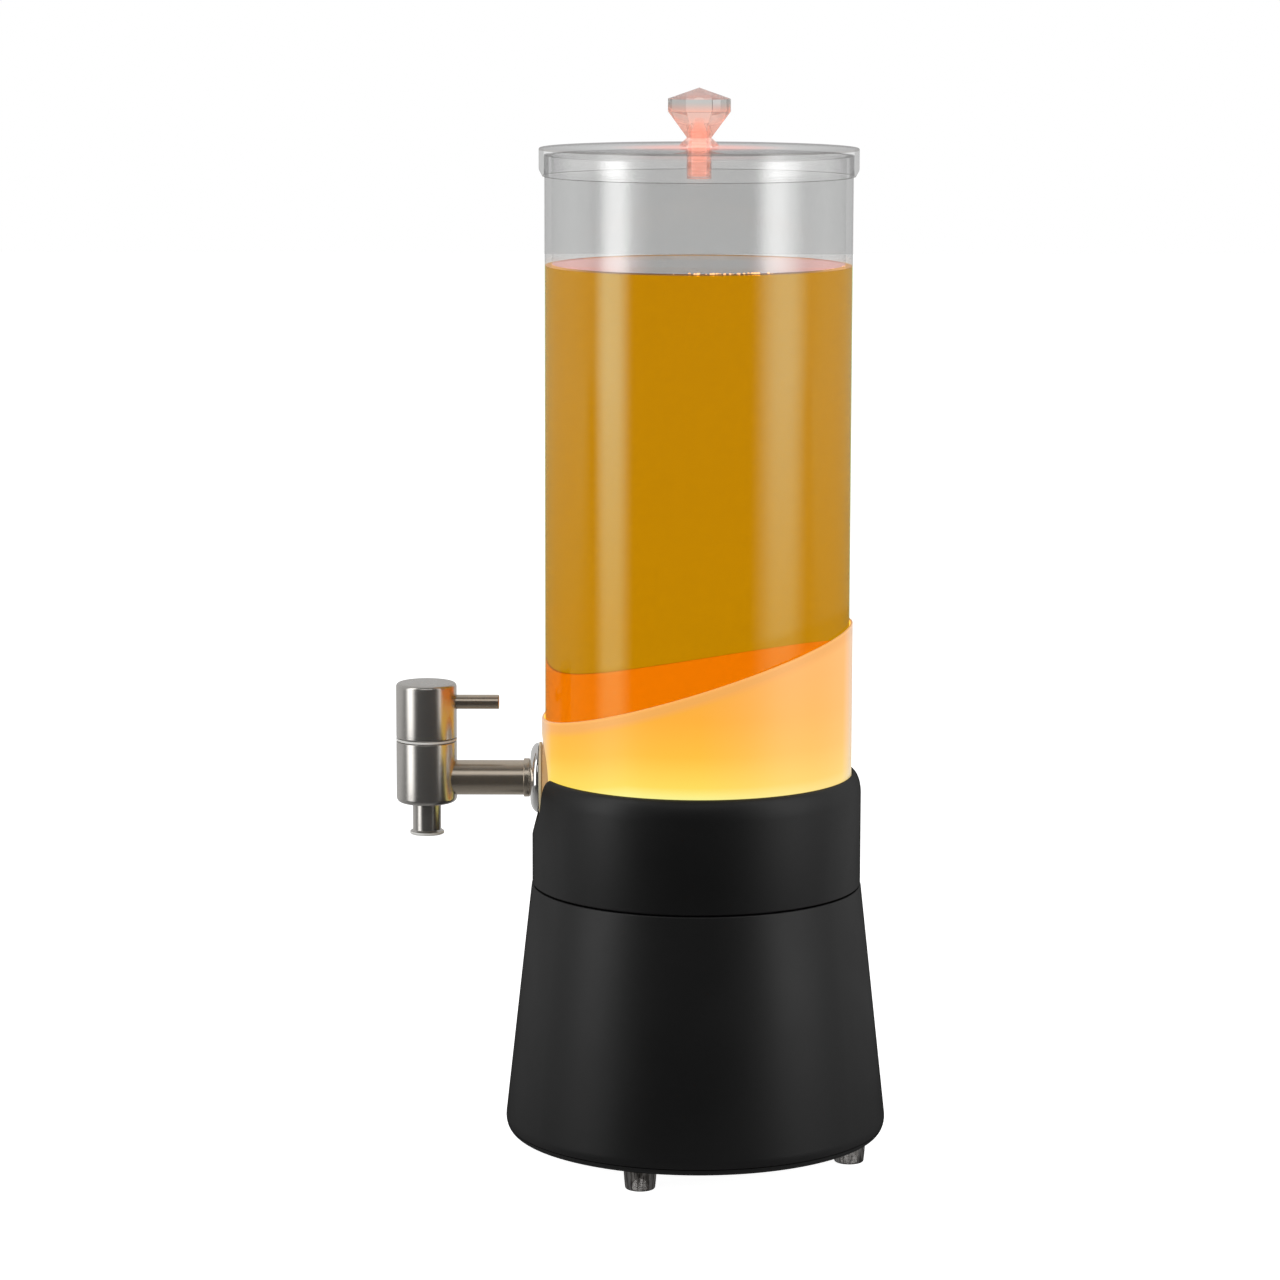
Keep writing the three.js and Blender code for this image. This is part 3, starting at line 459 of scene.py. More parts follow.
def settled(piece):
    """Apply a piece's modifiers."""
    graph = bpy.context.evaluated_depsgraph_get()
    shape = piece.evaluated_get(graph)
    mesh = bpy.data.meshes.new_from_object(shape, preserve_all_data_layers=True, depsgraph=graph)
    piece.modifiers.clear()
    piece.data = mesh
    return piece


def carved(piece, *tools, operation="DIFFERENCE"):
    """Cut one mesh with others, or join them to it."""
    for tool in tools:
        cutter = made("cutter", tool)
        step = piece.modifiers.new("carve", "BOOLEAN")
        step.operation = operation
        step.solver = "EXACT"
        step.object = cutter
        settled(piece)
        bpy.data.objects.remove(cutter)
    return piece


def hand_over(piece, body, slot, finishes, *stands_for, sharp=32, choice=None):
    """Clean a piece and give it its finishes, its body and the CAD nodes that it replaces."""
    mesh = piece.data
    # Merge doubles, point the faces outwards and shade smooth between sharp edges
    bm = bmesh.new()
    bm.from_mesh(mesh)
    bmesh.ops.remove_doubles(bm, verts=bm.verts, dist=2e-6)
    bmesh.ops.recalc_face_normals(bm, faces=bm.faces)
    bm.to_mesh(mesh)
    bm.free()
    mesh.shade_smooth()
    mesh.set_sharp_from_angle(angle=math.radians(sharp))
    if finishes:
        mesh.materials.clear()
        for finish in finishes:
            mesh.materials.append(finish)
    if choice:
        # Where there are several finishes, choice gives the number of each face's
        for face in mesh.polygons:
            face.material_index = choice(face)
    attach(piece, body)
    if stands_for:
        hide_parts(*stands_for)
    print(piece.name, "on", body, "with", len(mesh.polygons), "faces")


def dress(finish, *names):
    """Give a finish to CAD nodes that stay as they are."""
    for name in names:
        for place in nodes[name].material_slots:
            place.material = finish
    print("finish for", ", ".join(names))


print("pieces can be made, cut and handed over")

# %% [markdown]
# ## Plastics and steel
# The black parts are moulded with a fine satin grain, which mirrors less where it is seen edge-on. The
# rubbers and pale polymers are the same recipe with other values. The steel is turned, so its brush lines
# run round each part.


# %% Moulded plastics
def moulded(name, dark, light, rough_low, rough_high, grain_scale=2600, grain_depth=4e-5, specular=0.5,
            coat=0.0, dull_edge=0.0):
    """A moulded plastic or rubber: fine grain, slightly uneven colour and gloss, less gloss edge-on."""
    new_finish(name)
    broad = grain_of(22, 3)
    body = put("BsdfPrincipled", {
        "Base Color": mixed(broad, dark, light), "Roughness": ranged(broad, rough_low, rough_high, 0.3, 0.7),
        "Normal": bumped(grain_of(grain_scale), 0.6, grain_depth), "Specular IOR Level": specular,
        "Coat Weight": coat})
    if dull_edge:
        body = blended(edge_on(0.0, dull_edge, 0.45, 0.9), body, put("BsdfDiffuse", {"Color": light}))
    return closed(body)


satin_black = moulded("satin black plastic", (0.0042, 0.0042, 0.0043), (0.0056, 0.0056, 0.0057), 0.42, 0.5,
                      specular=0.4, dull_edge=0.75)
rubber_black = moulded("black rubber", (0.008, 0.008, 0.008), (0.013, 0.012, 0.012), 0.62, 0.74, 1800, 6e-5)
button_rubber = moulded("button rubber", (0.006, 0.006, 0.006), (0.009, 0.009, 0.009), 0.55, 0.65, 1500, 6e-5)
pale_silicone = moulded("pale silicone", (0.62, 0.55, 0.4), (0.74, 0.68, 0.52), 0.5, 0.62, 900, 3e-5)
pale_polymer = moulded("pale polymer", (0.66, 0.65, 0.62), (0.74, 0.73, 0.7), 0.35, 0.45, 1200, 2e-5)
lead_red = moulded("lead insulation", (0.32, 0.018, 0.012), (0.4, 0.03, 0.02), 0.4, 0.5, 900, 2e-5)
epoxy = moulded("lamp epoxy", (0.8, 0.74, 0.5), (0.9, 0.84, 0.62), 0.08, 0.14, 500, 5e-6, 0.5, 0.4)


# %% Steel
def steel(name, stretch, low=0.22, high=0.27, colour=(0.56, 0.54, 0.51), strength=0.035):
    """Steel with brush lines; stretch is small along the lines and large across them."""
    new_finish(name)
    lines = grain_of(1.0, 4, stretch)
    streaks = grain_of(1.0, 2, tuple(v * 0.25 for v in stretch))
    return closed(put("BsdfPrincipled", {
        "Metallic": 0.93, "Base Color": mixed(streaks, tuple(v * 0.94 for v in colour), colour),
        "Roughness": ranged(lines, low, high, 0.3, 0.7), "Normal": bumped(lines, strength, 2e-6)}))


steel_upright = steel("steel brushed round the barrel", (14, 14, 3600))
# Painted reflection: the arm's warm brown tint stands in for the drink's and the sleeve's glow mirrored in it
steel_along_painted_warm = steel("steel brushed round the arm", (3600, 14, 14), colour=(0.62, 0.54, 0.44))
steel_ends = steel("steel brushed flat", (300, 300, 300), 0.26, 0.32)
steel_bright = steel("polished steel", (180, 180, 180), 0.06, 0.1, (0.8, 0.79, 0.775), 0.1)

# %% [markdown]
# ## Clear plastic
# The tube and the lid are clear acrylic a few mm thick. Solid glass would be one way, but walls this thin
# hardly bend a look, so each face only dims what is behind it a little and mirrors the room, more at a
# slant. Drink wets the tube from inside, and there the inner face mirrors nothing.

# %% Clear sheet
drink_level, lid_low = 373.9, 411.2
image_middle, image_slope = 217, 0.21


def clear_sheet(name, tint, straight_on, at_slant, gloss, light=None, tinting=None, wet_to=None, shine=None):
    """One face of clear plastic, with its own glow, tint and mirrored colour where they are given."""
    new_finish(name)
    share = mirror_share(5.0, at_slant, straight_on)
    if wet_to is not None:
        share = sums("MULTIPLY", share, by_height(0.0, 1.0, wet_to, wet_to + 0.3))
    shade = mixed(grain_of(30), tuple(v * 0.985 for v in tint), tint)
    if tinting is not None:
        shade = tinting(shade)
    mirror = put("BsdfGlossy", {"Color": shine() if shine else (1, 1, 1), "Roughness": gloss})
    face = blended(share, put("BsdfTransparent", {"Color": shade}), mirror)
    return closed(added(face, light()) if light else face)


print("clear sheet ready")


# %% Tints and shine of the tube and the lid
def bore_tint(shade):
    """The tube's colour: golden up to the drink's level and clearer inside the lid."""
    wet = by_height(1.0, 0.0, drink_level - 0.3, drink_level + 0.3)
    in_lid = by_height(0.0, 1.0, lid_low - 0.2, lid_low + 0.2)
    return mixed(in_lid, mixed(wet, shade, (0.823, 0.782, 0.6)), (0.95, 0.95, 0.95))


def outside_tint(shade):
    """As the bore, but past the bore's edge a look passes two faces and not four, so each dims it more."""
    return bore_tint(mixed(edge_on(0.0, 1.0, 0.69, 0.71), shade, (0.74, 0.74, 0.738)))


def wall_shine():
    """What the outside mirrors: neutral if dry, green to khaki over drink, weak over the sleeve's image."""
    wet = by_height(0.0, 1.0, drink_level + 0.3, drink_level - 0.3)
    low = by_height(0.0, 1.0, 330, 225)
    parts = upright()
    slanted = sums("MULTIPLY_ADD", (parts, "X"), -image_slope, (parts, "Z"))
    on_image = ranged(slanted, 0.0, 1.0, (image_middle + 2) * mm, (image_middle - 2) * mm)
    over_drink = mixed(low, mixed(wet, (0.76, 0.76, 0.76), (0.64, 1.0, 0.76)), (0.5, 0.64, 0.36))
    return mixed(on_image, over_drink, (0.32, 0.42, 0.2))


def halo():
    """A red glow round the lid's middle, where the knob's foot brings the light up."""
    return glow((1.0, 0.07, 0.03), off_axis(0.17, 0.0, 10, 42, smooth=True))


def lid_top_painted_light(shade):
    """The lid's flat top: a painted red light round the knob, and darker towards its rim."""
    painted_red_light = mixed(off_axis(1.0, 0.0, 10, 42, smooth=True), shade, (0.85, 0.52, 0.46))
    return mixed(off_axis(0.0, 1.0, 30, 64), painted_red_light, (0.42, 0.42, 0.42))


def lid_side_tint(shade):
    """The lid's side is dimmer where it is seen edge-on, and more so past the tube's edge."""
    dimmer = mixed(edge_on(0.0, 1.0, 0.3, 0.7), shade, (0.9, 0.9, 0.9))
    return mixed(edge_on(0.0, 1.0, 0.73, 0.77), dimmer, (0.75, 0.75, 0.748))


print("tints and shine ready")

# %% Clear faces
tube_tint = (0.872, 0.874, 0.872)
tube_clear = clear_sheet("clear tube", tube_tint, 0.074, 0.4, 0.1, tinting=outside_tint, shine=wall_shine)
tube_bore = clear_sheet("clear tube inside", tube_tint, 0.098, 0.3, 0.1, tinting=bore_tint,
                        wet_to=drink_level)
lid_clear = clear_sheet("clear lid", (1.0, 1.0, 0.998), 0.034, 0.25, 0.1, tinting=lid_side_tint)
lid_flat = clear_sheet("clear lid top", (0.64, 0.64, 0.638), 0.06, 0.5, 0.08, halo, lid_top_painted_light)
# Painted shade: the cut and rounded edges get a dark tint for the dark lines that these edges show
cut_edge_painted_dark = clear_sheet("polished cut edge", (0.56, 0.55, 0.54), 0.06, 0.2, 0.1)
floor_clear = clear_sheet("clear floor", (0.88, 0.87, 0.84), 0.04, 0.3, 0.05)

# %% [markdown]
# ## Drink and light
# The drink is a golden liquid lit from below, and a faint painted red glow stands in for that light. It
# bends light, and its colour is given at its skin, which renders far faster than colour in its depth. Its
# level top mirrors the room, and a painted reflection adds the wall behind at this slant, with the lamps'
# red at both ends. A thin line where it climbs the wall is brown in front, with a painted golden glow at
# both ends.

# %% Drink's finishes
new_finish("golden drink")
tint = mixed(grain_of(14), (0.925, 0.715, 0.0), (0.935, 0.735, 0.0))
bent = put("BsdfRefraction", {"Color": tint, "IOR": 1.33, "Roughness": 0.0})
turned_back = put("BsdfGlossy", {"Color": tint, "Roughness": 0.0})
# The wall outside bends light nearly as the drink does, so only total reflection from inside is kept
trapped = sums("GREATER_THAN", put("Fresnel", {"IOR": 1.33}), 0.98)
# A faint painted red glow stands in for the lamps' light in the drink
lit = added(blended(trapped, bent, turned_back), glow((1.0, 0.2, 0.0), 0.07))
golden_drink = closed(lets_lamps_through(lit, (0.9, 0.6, 0.1)))

new_finish("drink surface")
share = mirror_share(3.0, 1.35, 0.04, clamp=True)
below = put("BsdfTransparent", {"Color": mixed(grain_of(40), (0.9, 0.6, 0.02), (0.93, 0.64, 0.03))})
mirror = put("BsdfGlossy", {"Color": (1, 0.98, 0.97), "Roughness": 0.06})
# Painted reflection: a glow weighted like the mirror, grey in the middle and red at both ends, stands in for
# the wall behind and the lamps' red mirrored in the level top
painted_reflection = mixed(off_middle(0.0, 1.0, 16, 56, smooth=True), (0.19, 0.19, 0.185), (0.62, 0.19, 0.15))
drink_surface = closed(added(blended(share, below, mirror), glow(painted_reflection, share)))

new_finish("drink's rim")
# Painted light: the rim's glow is golden at both ends and faint in front
drink_rim = closed(put("BsdfPrincipled", {
    "Base Color": mixed(grain_of(300), (0.36, 0.15, 0.02), (0.46, 0.2, 0.03)), "Roughness": 0.25,
    "Emission Color": mixed(off_middle(0.0, 1.0, 40, 58), (0.03, 0.01, 0.0), (0.62, 0.27, 0.03)),
    "Emission Strength": 1.0}))

# %% [markdown]
# ## Frosted and lit plastic
# The sleeve is frosted acrylic that the lamps light from below: yellow by the lamps, then orange, then
# paler. Light scattered inside so thin a wall is slow to render, so its glow is given by height instead.
# Small parts near the lamps get a painted glow for some of that light.

# %% Glowing frosted plastic
edge_height, edge_slope = 201.516, 0.315


def slanted_rim(parts, colour):
    """A paler band under the sleeve's slanted edge, a bright line at the edge, and pink on the high side."""
    rise = sums("MULTIPLY_ADD", (parts, "X"), edge_slope, edge_height * mm)
    below = sums("SUBTRACT", rise, (parts, "Z"))
    pale = mixed(ranged(below, 1.0, 0.0, 0.5 * mm, 1.2 * mm), (0.86, 0.4, 0.1), (1.0, 0.46, 0.12))
    pinker = mixed(ranged((parts, "X"), 0.0, 0.5, 0.0, 58 * mm), colour, (1.0, 0.53, 0.2))
    return mixed(ranged(below, 0.75, 0.0, 3.2 * mm, 6.0 * mm), pinker, pale)


def glowing(name, stops, strength, rim=None):
    """Frosted plastic that is lit from below: its glow changes with height, by (mm, colour) stops."""
    new_finish(name)
    low, high = stops[0][0], stops[-1][0]
    parts = upright()
    # By the tap the lamps' yellow light stays lower than elsewhere
    raised = sums("ADD", (parts, "Z"), ranged((parts, "X"), 7 * mm, 0.0, -63 * mm, -30 * mm))
    colour = ramped(ranged(raised, 0.0, 1.0, low * mm, high * mm),
                    [((height - low) / (high - low), tone) for height, tone in stops])
    if rim is not None:
        colour = rim(parts, colour)
    frosted = put("BsdfPrincipled", {
        "Base Color": mixed(0.88, colour, (0.04, 0.03, 0.02)), "Roughness": 0.42, "Emission Color": colour,
        "Emission Strength": strength, "Normal": bumped(grain_of(1500, 3), 0.4, 3e-5)})
    if rim is not None:
        # The frosted skin turns pale where it is seen edge-on
        skin = put("BsdfDiffuse", {"Color": (0.86, 0.84, 0.8)})
        frosted = blended(edge_on(0.0, 0.55, 0.66, 0.86), frosted, skin)
    return closed(frosted)


sleeve_glow = glowing("lit frosted sleeve", [
    (157, (1.0, 0.95, 0.3)), (162, (1.0, 0.73, 0.1)), (175, (1.0, 0.535, 0.04)), (190, (1.0, 0.44, 0.03)),
    (206, (0.98, 0.41, 0.05)), (223, (0.95, 0.41, 0.08))], 0.89, slanted_rim)
sleeve_inner_glow = glowing("lit sleeve inside", [
    (128, (1.0, 0.5, 0.1)), (180, (1.0, 0.48, 0.08)), (223, (1.0, 0.46, 0.06))], 2.12)
lens_glow = glowing("lit lens", [(124, (1.0, 0.8, 0.4)), (125, (1.0, 0.8, 0.4)), (127, (1.0, 0.8, 0.4))], 2.2)


# %% Small lit parts
def lit_plastic(name, dark, light, grain, rough, strength):
    """Plastic with a painted glow for the lamps' light it catches; strength is a number or a function that
    makes nodes.
    """
    new_finish(name)
    tint = mixed(grain_of(*grain), dark, light)
    return closed(put("BsdfPrincipled", {
        "Base Color": tint, "Roughness": rough, "Emission Color": tint,
        "Emission Strength": strength() if callable(strength) else strength}))


def stud_glow():
    """The stud takes the red light up into the knob, and it is a little weaker above the lid."""
    return by_height(0.6, 0.42, 420, 424)


amber_boss = lit_plastic("amber-lit boss", (0.36, 0.2, 0.08), (0.5, 0.32, 0.15), (260, 3), 0.22, 0.35)
red_stud = lit_plastic("red-lit stud", (0.87, 0.5, 0.42), (0.93, 0.62, 0.54), (400, 3), 0.35, stud_glow)
# Painted light: the froth glows, so the bubbles show as bright glints
froth_painted_glow = lit_plastic("bubble froth", (1.0, 0.42, 0.12), (1.0, 0.7, 0.4), (900, 2), 0.12, 1.3)

# %% [markdown]
# ## Knob and feet
# The knob is clear cut plastic with a salmon light in it, and the feet are a smoky clear elastomer. Both are
# small and thick, so here light is really bent: into dark and pale facets in the knob, and into dark and
# light lines in the feet. Painted light adds to that: a salmon tint on the knob's cone, a white glint on one
# facet, and upright light and dark streaks in the feet's tint.

# %% Cut knob
new_finish("cut clear knob")
grey = mixed(grain_of(60), (0.73, 0.74, 0.73), (0.78, 0.79, 0.78))
# A painted glint: one part of a girdle facet is painted white
parts = upright()
from_left = ranged((parts, "X"), 0.0, 1.0, 5.45 * mm, 5.5 * mm)
to_right = ranged((parts, "X"), 1.0, 0.0, 8.7 * mm, 8.8 * mm)
in_front = ranged((parts, "Y"), 1.0, 0.0, -1 * mm, 0)
painted_glint = sums("MULTIPLY", sums("MULTIPLY", from_left, to_right), in_front)
girdle = mixed(painted_glint, grey, (1.0, 1.0, 1.0))
with_point = mixed(by_height(0.0, 1.0, 443.4, 443.6), girdle, (0.9, 0.88, 0.87))
# Painted light: the salmon tint on the cone and the faint pink at the neck stand in for the stud's red light
# spreading in the knob
with_painted_red_cone = mixed(by_height(1.0, 0.0, 438.5, 442), with_point, (0.93, 0.73, 0.67))
tint = mixed(by_height(1.0, 0.0, 427, 427.5), with_painted_red_cone, (1.0, 0.94, 0.92))
clear = put("BsdfGlass", {"Color": tint, "IOR": 1.49, "Roughness": 0.0})
# Part of the light goes straight through, or the trapped light would leave the facets' ends nearly black
cut = blended(0.42, clear, put("BsdfTransparent", {"Color": tint}))
fade = sums("MULTIPLY", by_height(0.07, 0.06, 424, 438), by_height(1.0, 0.25, 437, 440))
lit = added(cut, glow((1.0, 0.24, 0.13), fade))
knob_clear = closed(lets_lamps_through(lit, (0.95, 0.85, 0.8)))

# %% Clear feet
new_finish("smoky clear foot")
# Painted light and shade: upright light and dark streaks in the tint stand in for lines that bent light draws
# in the feet
streaks = ranged(grain_of(1.0, 2, (900, 900, 120)), 0.0, 1.0, 0.38, 0.62)
smoke_with_painted_lines = mixed(streaks, (0.09, 0.085, 0.08), (0.42, 0.41, 0.4))
smoked_foot = closed(put("BsdfGlass", {"Color": smoke_with_painted_lines, "IOR": 1.45, "Roughness": 0.02}))

# %% [markdown]
# ## Board and cells
# The board has green solder mask over fine copper tracks, and a cell has a printed sleeve with plain bands.
# A brick pattern and a ramp with hard steps are enough for parts that are hardly ever seen.

# %% Board and cells
new_finish("green board")
tracks = put("TexBrick", {
    "Vector": on_piece(), "Scale": 160.0, "Mortar Size": 0.06, "Color1": (0.012, 0.12, 0.045),
    "Color2": (0.014, 0.135, 0.05), "Mortar": (0.03, 0.2, 0.07)})
green_board = closed(put("BsdfPrincipled", {
    "Base Color": tracks, "Roughness": 0.3, "Normal": bumped(tracks, 0.3, 3e-5)}))

new_finish("cell sleeve")
stops = [(0, (0.5, 0.5, 0.48)), (0.06, (0.09, 0.12, 0.16)), (0.95, (0.5, 0.5, 0.48))]
bands = ramped(ranged((upright(), "X"), 0.0, 1.0, -24 * mm, 22 * mm), stops, "CONSTANT")
cell_sleeve = closed(put("BsdfPrincipled", {
    "Base Color": bands, "Roughness": 0.32, "Metallic": 0.3, "Normal": bumped(grain_of(700), 0.3, 1e-5)}))

# %% [markdown]
# ## Base plate
# The moulded plate closes the base from below. Its edge starts the roll that the skirt goes on with, above
# a fine dark seam that shows in the photograph. One turned outline gives all that is round. A block is
# joined to it for the battery bay, and cuts open the bay, the button's hole and the screw sinks downwards.

# %% Base plate
plate_floor, lip_top = 3, 13
lip_radius, lip_inner = 78.1, 75.6
roll_radius, roll_middle, roll_out, roll_up = 78.7, 6, 3.4, 5.8
bay_gap, bay_wall, bay_roof, bay_y = 0.3, 1.5, 13.3, 30
button_y, button_hole = -35, 4.4
foot_circle, foot_hole = 70, 2.8
screw_circle, sink_radius, hole_radius = 71, 3.1, 1.8
bay_low, bay_high = [corner * 1000 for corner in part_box("battery_cover")]
bay_length = bay_high.x - bay_low.x + 2 * bay_gap
bay_width = bay_high.y - bay_low.y + 2 * bay_gap
bay_x = (bay_low.x + bay_high.x) / 2
roof_top = bay_roof + bay_wall


def on_ring(circle, degrees):
    """A place on a circle about the tower's axis."""
    return circle * math.cos(math.radians(degrees)), circle * math.sin(math.radians(degrees))


def sunk(piece, x, y, depth, end):
    """Cut a screw's sink and its hole from below."""
    carved(piece, moved(disc(sink_radius, -1, depth, 32), x, y), moved(disc(hole_radius, 1, end, 24), x, y))


plate = made("plate_moulding", turned([
    (0, 0), (77.9, 0, 0.3), *arc(roll_radius, roll_middle, roll_out, roll_up, -86, -31.2, 8),
    (lip_radius, plate_floor), (lip_radius, lip_top, 0.3), (lip_inner, lip_top, 0.3),
    (lip_inner, plate_floor), (0, plate_floor)]))
bay_outside = (bay_length + 2 * bay_wall, bay_width + 2 * bay_wall, roof_top)
carved(plate, block(bay_outside, (bay_x, bay_y, roof_top / 2)), operation="UNION")
carved(plate, block((bay_length, bay_width, bay_roof + 1), (bay_x, bay_y, (bay_roof - 1) / 2)))
carved(plate, moved(disc(button_hole, -1, plate_floor + 1, hole_steps), y=button_y))
for i in range(4):
    carved(plate, moved(disc(foot_hole, -1, plate_floor + 1, 24), *on_ring(foot_circle, -110 + 90 * i)))
    sunk(plate, *on_ring(screw_circle, 25 + 90 * i), 1.7, plate_floor + 1)
hand_over(plate, "base", "base_black", [satin_black], "base_plate")

# %% [markdown]
# ## Skirt and collar
# Two black mouldings with a thin open seam between them. The skirt has an inner flange that the collar
# stands on. The collar's wide shoulder is a quarter of an ellipse in its outline, because a bevel made
# afterwards would be a round one. Its U-shaped notch lets the tap's mount drop in from above.

# %% Skirt
skirt_foot, skirt_top = 81.4, 70.85
skirt_low, skirt_high = 9.3, 108.4
skirt_wall, seam = 2.6, 0.35
# How far up the skirt the flange starts
flange_share = 0.894
flange_low, flange_high, flange_inner = 97.9, 100.4, 55.95
wall_at_flange = skirt_foot + (skirt_top - skirt_foot) * flange_share - skirt_wall
skirt = made("skirt_moulding", turned([
    *arc(roll_radius, roll_middle, roll_out, roll_up, -27.2, 10.6, 10),
    (skirt_top, skirt_high, 0.6), (skirt_top - skirt_wall, skirt_high, 0.4),
    (skirt_top - skirt_wall, flange_high), (flange_inner, flange_high), (flange_inner, flange_low),
    (wall_at_flange, flange_low), (skirt_foot - skirt_wall, skirt_low), (roll_radius, skirt_low - 1),
    (roll_radius, plate_floor + seam)]))
hand_over(skirt, "base", "base_black", [satin_black], "skirt_shell")

# %% Collar
collar_radius, collar_inner = 70.6, 66.9
collar_low, collar_high, shoulder = 109.0, 157.2, 9
ledge, spigot_low, spigot_inner, spigot_outer = 122.1, 100.7, 65.45, 67.95
notch_radius, notch_top, notch_inner, notch_outer = 24.5, 12, -62, -73
collar = made("collar_moulding", turned([
    (collar_radius, collar_low, 0.5),
    *arc(collar_inner, collar_high - shoulder, collar_radius - collar_inner, shoulder, 0, 90, 14),
    (collar_inner, ledge), (spigot_inner, ledge), (spigot_inner, spigot_low), (spigot_outer, spigot_low),
    (spigot_outer, collar_low)]))
notch_side = [(-notch_radius, notch_top), *arc(0, 0, notch_radius, notch_radius, 180, 360, 48),
              (notch_radius, notch_top)]
bm = bmesh.new()
near, far = [[bm.verts.new((x * mm, y * mm, (tap_height + z) * mm)) for y, z in notch_side]
             for x in (notch_inner, notch_outer)]
bm.faces.new(near)
bm.faces.new(far[::-1])
for i in range(len(near)):
    j = (i + 1) % len(near)
    bm.faces.new((near[i], far[i], far[j], near[j]))
bmesh.ops.remove_doubles(bm, verts=bm.verts, dist=1e-6)
bmesh.ops.recalc_face_normals(bm, faces=bm.faces)
carved(collar, bm)
hand_over(collar, "base", "base_black", [satin_black], "collar")

# %% [markdown]
# ## Tube, floor and sleeve
# The tube is a closed turned wall with the arm's hole in it, and its floor a disc inside. The sleeve is
# turned with a level top first, and then every point of its top edge moves onto the slanted plane. A
# slanted cut would leave that edge without its rounding.

# %% Tube and tank floor
tube_radius, tube_inner = 65, 62
tube_low, tube_high, floor_top = 128.5, 419.9, 133.5
arm_hole = 7.8


def tube_part(face):
    """The cut top edge, the bore or the outside."""
    if face.normal.z > 0.9:
        return 2
    return 1 if face.center.xy.length < (tube_inner + 0.1) * mm else 0


tube = made("tube_wall", turned([
    (tube_inner, tube_low, 0.4), (tube_radius, tube_low, 0.4), (tube_radius, tube_high, 0.5),
    (tube_inner, tube_high, 0.5)], fine_steps))
carved(tube, along_tap(disc(arm_hole, 50, 66, hole_steps)))
hand_over(tube, "tank", "clear_acrylic", [tube_clear, tube_bore, cut_edge_painted_dark], "tank_tube", choice=tube_part)

tank_floor = made("tank_floor_disc", disc(tube_inner - 0.3, tube_low, floor_top, soft=(0.4, 0.4)))
hand_over(tank_floor, "tank", "clear_acrylic", [floor_clear], "tank_floor")

# %% Light sleeve
sleeve_radius, sleeve_inner, sleeve_hole = 66.4, 65.3, 19.8
slant_from = 165


def sleeve_part(face):
    """The inner side or the rest."""
    inside = face.center.xy.length < (sleeve_inner + 0.05) * mm
    return 1 if inside and face.normal.xy.dot(face.center.xy.normalized()) < -0.5 else 0


sleeve = made("frosted_sleeve", turned([
    (sleeve_inner, tube_low), (sleeve_radius, tube_low, 0.3), (sleeve_radius, edge_height, 0.45),
    (sleeve_inner, edge_height, 0.3)], fine_steps))
for vertex in sleeve.data.vertices:
    if vertex.co.z > slant_from * mm:
        vertex.co.z += edge_slope * vertex.co.x
carved(sleeve, along_tap(disc(sleeve_hole, 60, 68, ring_steps)))
hand_over(sleeve, "tank", "frosted_acrylic", [sleeve_glow, sleeve_inner_glow], "light_sleeve",
          choice=sleeve_part)

# %% [markdown]
# ## Drink
# The drink has no CAD solid, because it is the tower's contents. It is a closed body that bends light as a
# liquid does, and that is what makes the far side of the sleeve look like a flatter band than it is. A wet
# wall and the drink bend light nearly alike, so they act as one lens: the body goes out to just inside the
# tube's outer face.

# %% Drink
drink_radius, rim_radius, drink_low = 64.7, 61.9, 133.7


def drink_part(face):
    """The climb up the wall, the level top or the body."""
    if face.center.z <= (drink_level - 0.05) * mm:
        return 0
    return 2 if face.center.xy.length > (rim_radius + 0.1) * mm else 1


drink = made("drink", turned([
    (0, drink_low), (drink_radius, drink_low, 0.3), (drink_radius, drink_level),
    (rim_radius, drink_level + 0.5), (rim_radius - 0.4, drink_level + 0.25),
    (rim_radius - 1.6, drink_level), (0, drink_level)], fine_steps))
hand_over(drink, "tank", "clear_acrylic", [golden_drink, drink_surface, drink_rim], choice=drink_part)

# %% [markdown]
# ## Tap
# A barrel with a turning head, fixed to the tube by an arm through a boss, a gasket and a domed washer. All
# of it is turned steel, apart from the amber-lit boss, the silicone gasket, the pale washer under the head
# and the nozzle's pale lip. Each part is turned upright, and what belongs to the arm is then laid along it.

# %% Tap mount
boss_radius, boss_face, boss_shoulder, boss_end, boss_inner = 19, 15.6, 62.6, 66.1, 50.5
gasket_radius, gasket_low, gasket_high = 15.3, 66.4, 67.6
dome_middle, dome_base, dome_out, dome_up, dome_wall = 9.5, 67.9, 5.5, 3.4, 1

boss = made("boss_moulding", along_tap(turned([
    (0, boss_inner), (boss_radius, boss_inner), (boss_radius, boss_shoulder), (boss_face, boss_end, 0.4),
    (0, boss_end)], ring_steps)))
carved(boss, disc(sleeve_inner, 120, 190, fine_steps), along_tap(disc(arm_hole, 49, 70, hole_steps)))
hand_over(boss, "tank", "amber_acrylic", [amber_boss], "tap_boss")

ring = disc(gasket_radius, gasket_low, gasket_high, ring_steps, arm_hole, (0.3, 0.3))
gasket = made("gasket_ring", along_tap(ring))
hand_over(gasket, "tank", "pale_silicone", [pale_silicone], "outer_gasket")

dome = made("domed_washer", along_tap(turned([
    (14, dome_base), *arc(dome_middle, dome_base, dome_out, dome_up, 0, 90, 12),
    (arm_hole, dome_base + dome_up), (arm_hole, dome_base + dome_up - dome_wall),
    *arc(dome_middle, dome_base, dome_out - dome_wall, dome_up - dome_wall, 90, 0, 12)[:-1]], ring_steps)))
hand_over(dome, "tank", "bright_steel", [steel_bright], "escutcheon")

